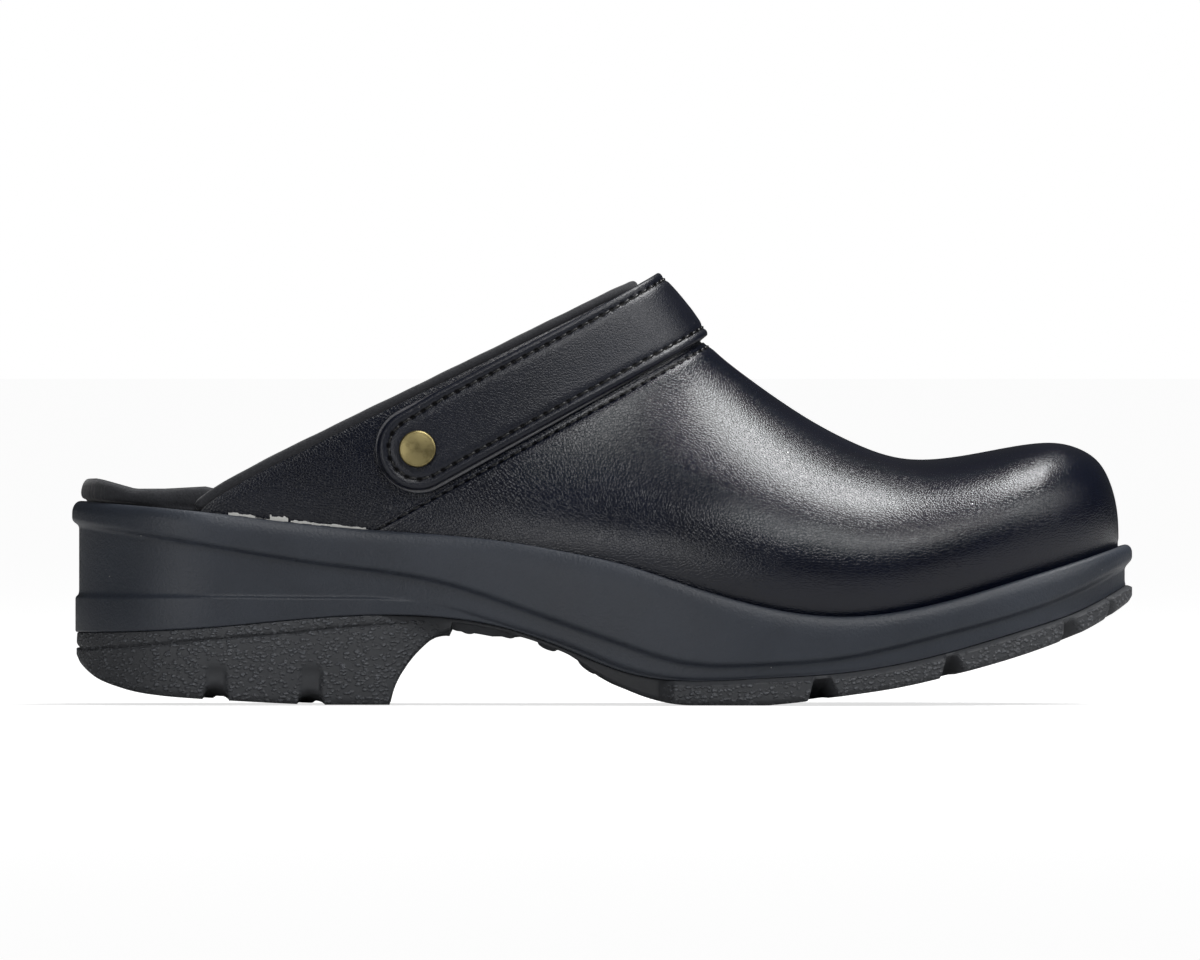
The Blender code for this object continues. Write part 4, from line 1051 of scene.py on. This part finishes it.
class CLOG_OT_collar_roll(bpy.types.Operator):
    """Padded roll along the topline"""
    bl_idname = "clog.collar_roll"
    bl_label = "Collar roll"

    def execute(self, context):
        lip_turn = float(lip_turns(0.0))
        turns = np.linspace(-lip_turn, math.pi / 2, 130)
        side = np.repeat((LATERAL, MEDIAL), (len(turns), len(turns) - 1))
        turn = np.concatenate([turns, turns[-2::-1]])
        normal = skin_normal(0.0, side, turn)
        back = unit(np.cross(normal, up_rib(0.0, side, turn)) * -side[:, None])
        middle = off_skin(0.0, side, turn, np.full(turn.shape, -VAMP_STEP - LEATHER / 2))
        middle = middle + back * (ROLL_TALL / 2 - ROLL_LAP)
        inside = np.where(middle[:, 2] - lip_top(middle[:, 0]) > -1.0)[0]
        keep = np.arange(inside[0], inside[-1] + 1)
        length = path_length(middle[keep])
        plump = 1 + 0.025 * np.sin(length / 4.1) + 0.02 * np.sin(length / 1.7 + 1.0)
        angles = np.linspace(0, 2 * math.pi, 25)
        from_end = np.minimum(np.minimum(length, length[-1] - length) / ROLL_END, 1.0)
        size = (plump * np.sqrt(1 - (1 - from_end) ** 2))[:, None, None]
        ring = (normal[keep, None] * np.cos(angles)[None, :, None] * ROLL_THICK / 2
                + back[keep, None] * np.sin(angles)[None, :, None] * ROLL_TALL / 2)
        piece = lay_grid("collar_roll", middle[keep, None] + ring * size, angle=70)
        seat(piece, [material_once(brushed_microfibre, "microfibre_sanded")], "collar_binding")
        return {"FINISHED"}


def strap_row(turn):
    """Row of the upper that the strap's centre line lies on."""
    return STRAP_ROW + STRAP_ROW_SHIFT * np.maximum(np.sin(turn), 0.0) ** 2


def strap_line():
    """Centre line of the strap over the lateral half: length from the ridge against turn."""
    turns = np.linspace(math.pi / 2, -0.2, 240)
    return path_length(skin(strap_row(turns), LATERAL, turns)), turns


STRAP_LENGTHS, STRAP_TURNS = strap_line()
RIVET_AT = float(np.interp(-RIVET_TURN, -STRAP_TURNS, STRAP_LENGTHS))      # from the ridge to a rivet


def strap_half(length):
    """Half width of the strap at a length from the ridge, with a round end past the rivet."""
    share = np.clip(length / RIVET_AT, 0, 1)
    end = np.clip((length - RIVET_AT) / STRAP_END, 0, 1)
    return (STRAP_HALF_RIDGE + (STRAP_HALF_END - STRAP_HALF_RIDGE) * share) * np.sqrt(1 - end ** 2)


def on_strap(length, across, height):
    """Points at a length from the ridge, lateral below zero, a distance across and a height above."""
    side = np.where(length <= 0, LATERAL, MEDIAL)
    turn = np.interp(np.abs(length), STRAP_LENGTHS, STRAP_TURNS)
    middle = strap_row(turn)
    sideways = np.cross(up_rib(middle, side, turn), skin_normal(middle, side, turn)) * -side[..., None]
    target = skin(middle, side, turn) + sideways * across[..., None]
    row, place = middle.copy(), turn.copy()
    for _ in range(5):
        here = skin(row, side, place)
        miss = target - here
        by_row = (skin(row + PROBE, side, place) - here) / PROBE
        by_turn = (here - skin(row, side, place - PROBE)) / PROBE
        a, b, c = [np.sum(u * v, -1) for u, v in ((by_row, by_row), (by_row, by_turn), (by_turn, by_turn))]
        d, e = np.sum(by_row * miss, -1), np.sum(by_turn * miss, -1)
        whole = np.maximum(a * c - b * b, 1e-9)
        row = np.clip(row + (c * d - b * e) / whole, 0.0, SEAM_ROW - STRAP_CLEAR)
        place = np.minimum(place + (a * e - b * d) / whole, math.pi / 2)
    share = across / np.maximum(strap_half(np.abs(length)), 4.0)
    lift = np.exp(-(length / STRAP_LIFT_REACH) ** 2)
    rise = lift * (STRAP_LIFT * (1 - share) + STRAP_LIFT_REAR * np.maximum(-share, 0.0) ** 1.5)
    return off_skin(row, side, place, GAP - VAMP_STEP + height + rise), skin_normal(row, side, place)


def by_edge(length, across, front, rear):
    """A size that differs between the strap's front and rear edge; round the ends it is the front's."""
    end = soft_step(RIVET_AT - REAR_CHANGE, RIVET_AT, np.abs(length))
    return np.where(across < 0, rear + (front - rear) * end, front)


def strap_rim(length, across):
    return by_edge(length, across, STRAP_RIM, REAR_RIM)


def stitch_inset(length, across):
    return by_edge(length, across, STITCH_INSET, REAR_INSET)


def face_half(length, across):
    """Half width of the strap's folded face, which stands inside its backing's outline."""
    end = np.clip((length - RIVET_AT) / (STRAP_END - STRAP_RIM), 0, 1)
    return (strap_half(np.minimum(length, RIVET_AT)) - strap_rim(length, across)) * np.sqrt(1 - end ** 2)


def edge_distance(length, across):
    """How far inside the strap's outline a place on it lies."""
    past = np.maximum(np.abs(length) - RIVET_AT, 0)
    straight_part = strap_half(np.minimum(np.abs(length), RIVET_AT)) - np.abs(across)
    from_rivet = np.sqrt((past / STRAP_END) ** 2 + (across / STRAP_HALF_END) ** 2)
    return np.where(past > 0, (1 - from_rivet) * (STRAP_END + STRAP_HALF_END) / 2, straight_part)


def strap_stitch_path():
    """The strap's stitch row as lengths and places across: front, round an end, back, round the other."""
    run = np.linspace(-RIVET_AT, RIVET_AT, 800)
    front = np.stack([run, strap_half(np.abs(run)) - STITCH_INSET], -1)
    back = np.stack([run[::-1], stitch_inset(run, -1) - strap_half(np.abs(run))], -1)
    angle = np.linspace(math.pi / 2, -math.pi / 2, 120)[1:-1]
    reach = np.array((STRAP_END, STRAP_HALF_END)) - STITCH_INSET
    bow = reach * np.stack([np.cos(angle), np.sin(angle)], -1)
    medial_end = bow + (RIVET_AT, 0)
    lateral_end = bow[::-1] * (-1, 1) - (RIVET_AT, 0)
    return np.concatenate([front, medial_end, back, lateral_end, front[:1]])


class CLOG_OT_strap(bpy.types.Operator):
    """Folded leather band over the instep on a raw-edged backing, with round ends past the rivets"""
    bl_idname = "clog.strap"
    bl_label = "Strap"

    def execute(self, context):
        bend = np.sin(np.linspace(0, math.pi / 2, 30))
        half_run = np.unique(np.concatenate([np.linspace(0, RIVET_AT, 130), RIVET_AT + STRAP_END * bend,
                                             RIVET_AT + (STRAP_END - STRAP_RIM) * bend]))
        lengths = np.concatenate([-half_run[::-1], half_run[1:]])[:, None]
        half = strap_half(np.abs(lengths))

        # Cross-section: the folded face with a rounded edge, a dark line, the backing's raw rim, a flat back
        fine = 1 - np.geomspace(1.0, 0.003, 30)
        face = np.unique(np.concatenate([-fine, fine, (-1.0, 1.0)]))
        face = face * face_half(np.abs(lengths), face)
        insets, rim_height, raw = np.array(STRAP_EDGE).T
        front = np.maximum(half - insets, 0.0)
        rear = np.maximum(half - insets * strap_rim(lengths, -1) / STRAP_RIM, 0.0)
        back = np.linspace(0.85, -0.85, 12) * half
        across = np.concatenate([face, front, back, -rear[:, ::-1], face[:, :1]], axis=1)
        run = np.broadcast_to(lengths, across.shape)
        inset = stitch_inset(run, across)
        inside = np.maximum(edge_distance(run, across) - strap_rim(run, across), 0.0)
        roll = np.clip(1 - inside / FOLD_REACH, 0, 1)
        channel = np.exp(-((edge_distance(run, across) - inset) / CHANNEL_HALF) ** 2)
        height = STRAP_THICK - FOLD_FALL * (1 - np.sqrt(1 - 0.98 * roll ** 2)) - CHANNEL_DEEP * channel
        height = np.where(face_half(np.abs(lengths), 1) > 0, height, BACKING)
        columns = np.concatenate([rim_height, np.zeros(back.shape[1]), rim_height[::-1]])
        height[:, face.shape[1]:-1] = columns
        points, _ = on_strap(run, across, height)

        path = strap_stitch_path()
        along, _ = near_path(np.stack([run, across], -1), path)
        pitch = context.scene.clog_sizes.stitch_pitch / MM
        whole = path_length(path)[-1]
        along = along * round(whole / pitch) * pitch / whole
        away = np.full(across.shape, FAR)
        away[:, :face.shape[1]] = (edge_distance(run, across) - inset)[:, :face.shape[1]]
        fuzzy = np.zeros(across.shape[1])
        fuzzy[face.shape[1]:-1] = np.concatenate([raw, np.ones(back.shape[1]), raw[::-1]])
        seam = {"seam_along": along, "seam_away": away, "raw_edge": fuzzy}
        piece = lay_grid("strap_band", points, seam, angle=50)
        leather = material_once(grain_leather, "cowhide_corrected_grain_folded", sewn=True,
                                gloss_range=(0.3, 0.42))
        seat(piece, [leather], "strap")
        return {"FINISHED"}


def sew(name, points, normals, material):
    """One mesh of stitches between neighbouring needle holes: a tapered, slightly arched thread each."""
    thick = bpy.context.scene.clog_sizes.thread / MM / 2
    bpy.ops.object.select_all(action="DESELECT")
    bpy.ops.mesh.primitive_uv_sphere_add(segments=8, ring_count=7, radius=1)
    pattern = bpy.context.object
    shape = np.array([v.co for v in pattern.data.vertices])
    faces = [tuple(p.vertices) for p in pattern.data.polygons]
    bpy.ops.object.delete()
    upright = np.abs(shape[:, 2:])
    lengthways = np.sign(shape[:, 2:]) * upright ** 0.8 * STITCH_HALF
    girth = np.sqrt(np.clip(1 - upright ** 1.6 * STITCH_TAPER, 0, 1)) * thick
    radial = unit(shape[:, :2] + 1e-9) * np.where(upright > 0.99, 0.0, 1.0)
    arch = thick * (STITCH_ARCH - STITCH_DIP * upright ** 3)
    verts, polygons = [], []
    for start, end, up in zip(points, points[1:], (normals[1:] + normals[:-1]) / 2):
        run = end - start
        out = unit(up)
        sideways = unit(np.cross(out, run))
        place = ((start + end) / 2 + lengthways * run + radial[:, :1] * girth * sideways
                 + (radial[:, 1:] * girth + arch) * out)
        polygons += [tuple(i + len(verts) * len(shape) for i in face) for face in faces]
        verts.append(place)
    mesh = bpy.data.meshes.new(name)
    mesh.from_pydata([tuple(v) for v in np.concatenate(verts) * MM], [], polygons)
    mesh.shade_smooth()
    piece = bpy.data.objects.new(name, mesh)
    bpy.context.scene.collection.objects.link(piece)
    return seat(piece, [material])


class CLOG_OT_sewing(bpy.types.Operator):
    """Stitch rows round the strap and along the vamp's edge"""
    bl_idname = "clog.sewing"
    bl_label = "Sewing"

    def execute(self, context):
        thread = material_once(bonded_thread, "polyester_thread_bonded")
        pitch = context.scene.clog_sizes.stitch_pitch / MM
        path = strap_stitch_path()
        along = path_length(path)
        holes = np.linspace(0, along[-1], round(along[-1] / pitch) + 1)
        run, across = [np.interp(holes, along, path[:, i]) for i in range(2)]
        points, normals = on_strap(run, across, np.full(run.shape, STRAP_THICK - STRAP_THREAD))
        sew("strap_stitches", points, normals, thread)

        row, side, turn = vamp_seam()
        along = path_length(skin(row, side, turn))
        holes = np.arange(0, along[-1], pitch)
        index = np.interp(holes, along, np.arange(len(along)))
        row, turn = [np.interp(index, np.arange(len(along)), values) for values in (row, turn)]
        side = side[np.round(index).astype(int)]
        points = off_skin(row, side, turn, np.full(turn.shape, -VAMP_THREAD))
        sew("vamp_stitches", points, skin_normal(row, side, turn), thread)
        return {"FINISHED"}


class CLOG_OT_rivets(bpy.types.Operator):
    """Turned rivets: a low domed cap on the strap, a post through strap and quarter, a washer inside"""
    bl_idname = "clog.rivets"
    bl_label = "Rivets"

    def execute(self, context):
        brass = material_once(antique_brass, "brass_antiqued")
        seat_height = GAP - VAMP_STEP + STRAP_THICK + GAP
        tail = -VAMP_STEP - LEATHER - 1.5 * GAP
        back = tail - TAIL_THICK
        face = seat_height + CAP_HIGH
        profile = [Turn(0, face - 0.02, 1.0)]
        profile += [Turn(r, face - 0.55 * (r / CAP_RADIUS) ** 2, 1.0) for r in np.linspace(0.3, 4.3, 16)]
        profile += [Turn(4.3 + 0.7 * math.sin(a), face - 1.05 + 0.65 * math.cos(a), 0.9 - 0.3 * a)
                    for a in np.linspace(0.2, math.pi / 2, 7)]
        profile += [Turn(CAP_RADIUS, seat_height + 0.25, 0.3), Turn(CAP_RADIUS - 0.2, seat_height, 0.2),
                    Turn(POST_RADIUS, seat_height, 0.2), Turn(POST_RADIUS, tail, 0.4),
                    Turn(TAIL_RADIUS - 0.2, tail, 0.6), Turn(TAIL_RADIUS, tail - 0.2, 0.8),
                    Turn(TAIL_RADIUS, back + 0.3, 0.8), Turn(TAIL_RADIUS - 0.3, back, 0.8),
                    Turn(0, back, 0.8)]
        angles = np.linspace(0, 2 * math.pi, 65)
        table = np.array([[(p.radius * math.cos(a), p.radius * math.sin(a), p.height) for a in angles]
                          for p in profile])
        rubbed = np.array([[p.rubbed] for p in profile])
        row = float(strap_row(RIVET_TURN))
        for name, side in (("rivet_lateral", LATERAL), ("rivet_medial", MEDIAL)):
            axis = Vector(skin_normal(row, side, RIVET_TURN))
            turn = np.array(axis.to_track_quat("Z", "Y").to_matrix())
            place = skin(row, side, RIVET_TURN)
            piece = lay_grid(name + "_cap", table @ turn.T + place, {"rubbed": rubbed}, angle=35)
            seat(piece, [brass], name)
        return {"FINISHED"}


class CLOG_OT_stage(bpy.types.Operator):
    """Pale floor, soft overhead light and a long-lens camera square to the outer side"""
    bl_idname = "clog.stage"
    bl_label = "Studio"

    def execute(self, context):
        scene = context.scene
        scene.view_settings.view_transform = "Standard"
        bpy.ops.object.select_all(action="DESELECT")
        bpy.ops.mesh.primitive_plane_add(size=FLOOR_SIZE, location=(0, 0, -FLOOR_DROP))
        floor = context.object
        floor.name = "studio_floor"
        material, tree, shader = new_material("paper_sweep_matte")
        # The paper glows for the eye alone, less under the shoe, so that it reads white with a soft shadow
        far = add(tree, "VectorMath", {0: add(tree, "TexCoord").outputs["Object"]}, operation="LENGTH")
        seen = add(tree, "LightPath").outputs["Is Camera Ray"]
        glow = add(tree, "MapRange", {"Value": far, "From Min": 0.1, "From Max": 1.4, "To Min": 0.72,
                                      "To Max": 0.95}, interpolation_type="SMOOTHSTEP")
        glow = add(tree, "Math", {0: glow, 1: seen}, operation="MULTIPLY")
        feed(tree, shader, {"Base Color": (0.5, 0.5, 0.5, 1), "Roughness": 0.9, "Specular IOR Level": 0.0,
                            "Emission Color": (1, 1, 1, 1), "Emission Strength": glow})
        floor.data.materials.append(material)

        scene.world = bpy.data.worlds.new("studio_air")
        scene.world.use_nodes = True
        tree = scene.world.node_tree
        seen = add(tree, "LightPath").outputs["Is Camera Ray"]
        shade = add(tree, "MapRange", {"Value": seen, "To Min": AIR_LIGHT, "To Max": 1.0})
        feed(tree, tree.nodes["Background"], {"Color": (1, 1, 1, 1), "Strength": shade})

        for lamp in LAMPS:
            data = bpy.data.lights.new(lamp.name, "AREA")
            data.shape = "RECTANGLE"
            data.size, data.size_y, data.energy = lamp.width, lamp.depth, lamp.power
            light = bpy.data.objects.new(lamp.name, data)
            light.location = lamp.place
            light.rotation_euler = (LAMP_AIM - light.location).to_track_quat("-Z", "Y").to_euler()
            scene.collection.objects.link(light)

        data = bpy.data.cameras.new("long_lens")
        data.sensor_width = SENSOR
        data.lens = SENSOR * VIEW_DISTANCE / VIEW_WIDTH
        camera = bpy.data.objects.new("long_lens", data)
        back_off = Vector((0, -math.cos(VIEW_RISE), math.sin(VIEW_RISE)))
        camera.location = VIEW_MIDDLE + back_off * VIEW_DISTANCE
        camera.rotation_euler = (-back_off).to_track_quat("-Z", "Y").to_euler()
        data.clip_end = 100
        scene.collection.objects.link(camera)
        scene.camera = camera
        return {"FINISHED"}


OPERATORS = (CLOG_OT_outsole, CLOG_OT_midsole, CLOG_OT_insole, CLOG_OT_upper, CLOG_OT_collar_roll,
             CLOG_OT_strap, CLOG_OT_sewing, CLOG_OT_rivets, CLOG_OT_stage)


class CLOG_PT_panel(bpy.types.Panel):
    """Sizes, colours and the pieces in the order they are made"""
    bl_idname = "CLOG_PT_panel"
    bl_label = "Leather work clog"
    bl_space_type = "VIEW_3D"
    bl_region_type = "UI"
    bl_category = "Clog"

    def draw(self, context):
        for group in (context.scene.clog_sizes, context.scene.clog_colours):
            for key in group.__annotations__:
                self.layout.prop(group, key)
        for operator in OPERATORS:
            self.layout.operator(operator.bl_idname)


CLASSES = (ClogSizes, ClogColours, *OPERATORS, CLOG_PT_panel)


def register():
    for cls in CLASSES:
        bpy.utils.register_class(cls)
    bpy.types.Scene.clog_sizes = PointerProperty(type=ClogSizes)
    bpy.types.Scene.clog_colours = PointerProperty(type=ClogColours)


def unregister():
    del bpy.types.Scene.clog_sizes
    del bpy.types.Scene.clog_colours
    for cls in reversed(CLASSES):
        bpy.utils.unregister_class(cls)


def main():
    register()
    bpy.ops.clog.outsole()
    bpy.ops.clog.midsole()
    bpy.ops.clog.insole()
    bpy.ops.clog.upper()
    bpy.ops.clog.collar_roll()
    bpy.ops.clog.strap()
    bpy.ops.clog.sewing()
    bpy.ops.clog.rivets()
    bpy.ops.clog.stage()


if __name__ == "__main__":
    main()
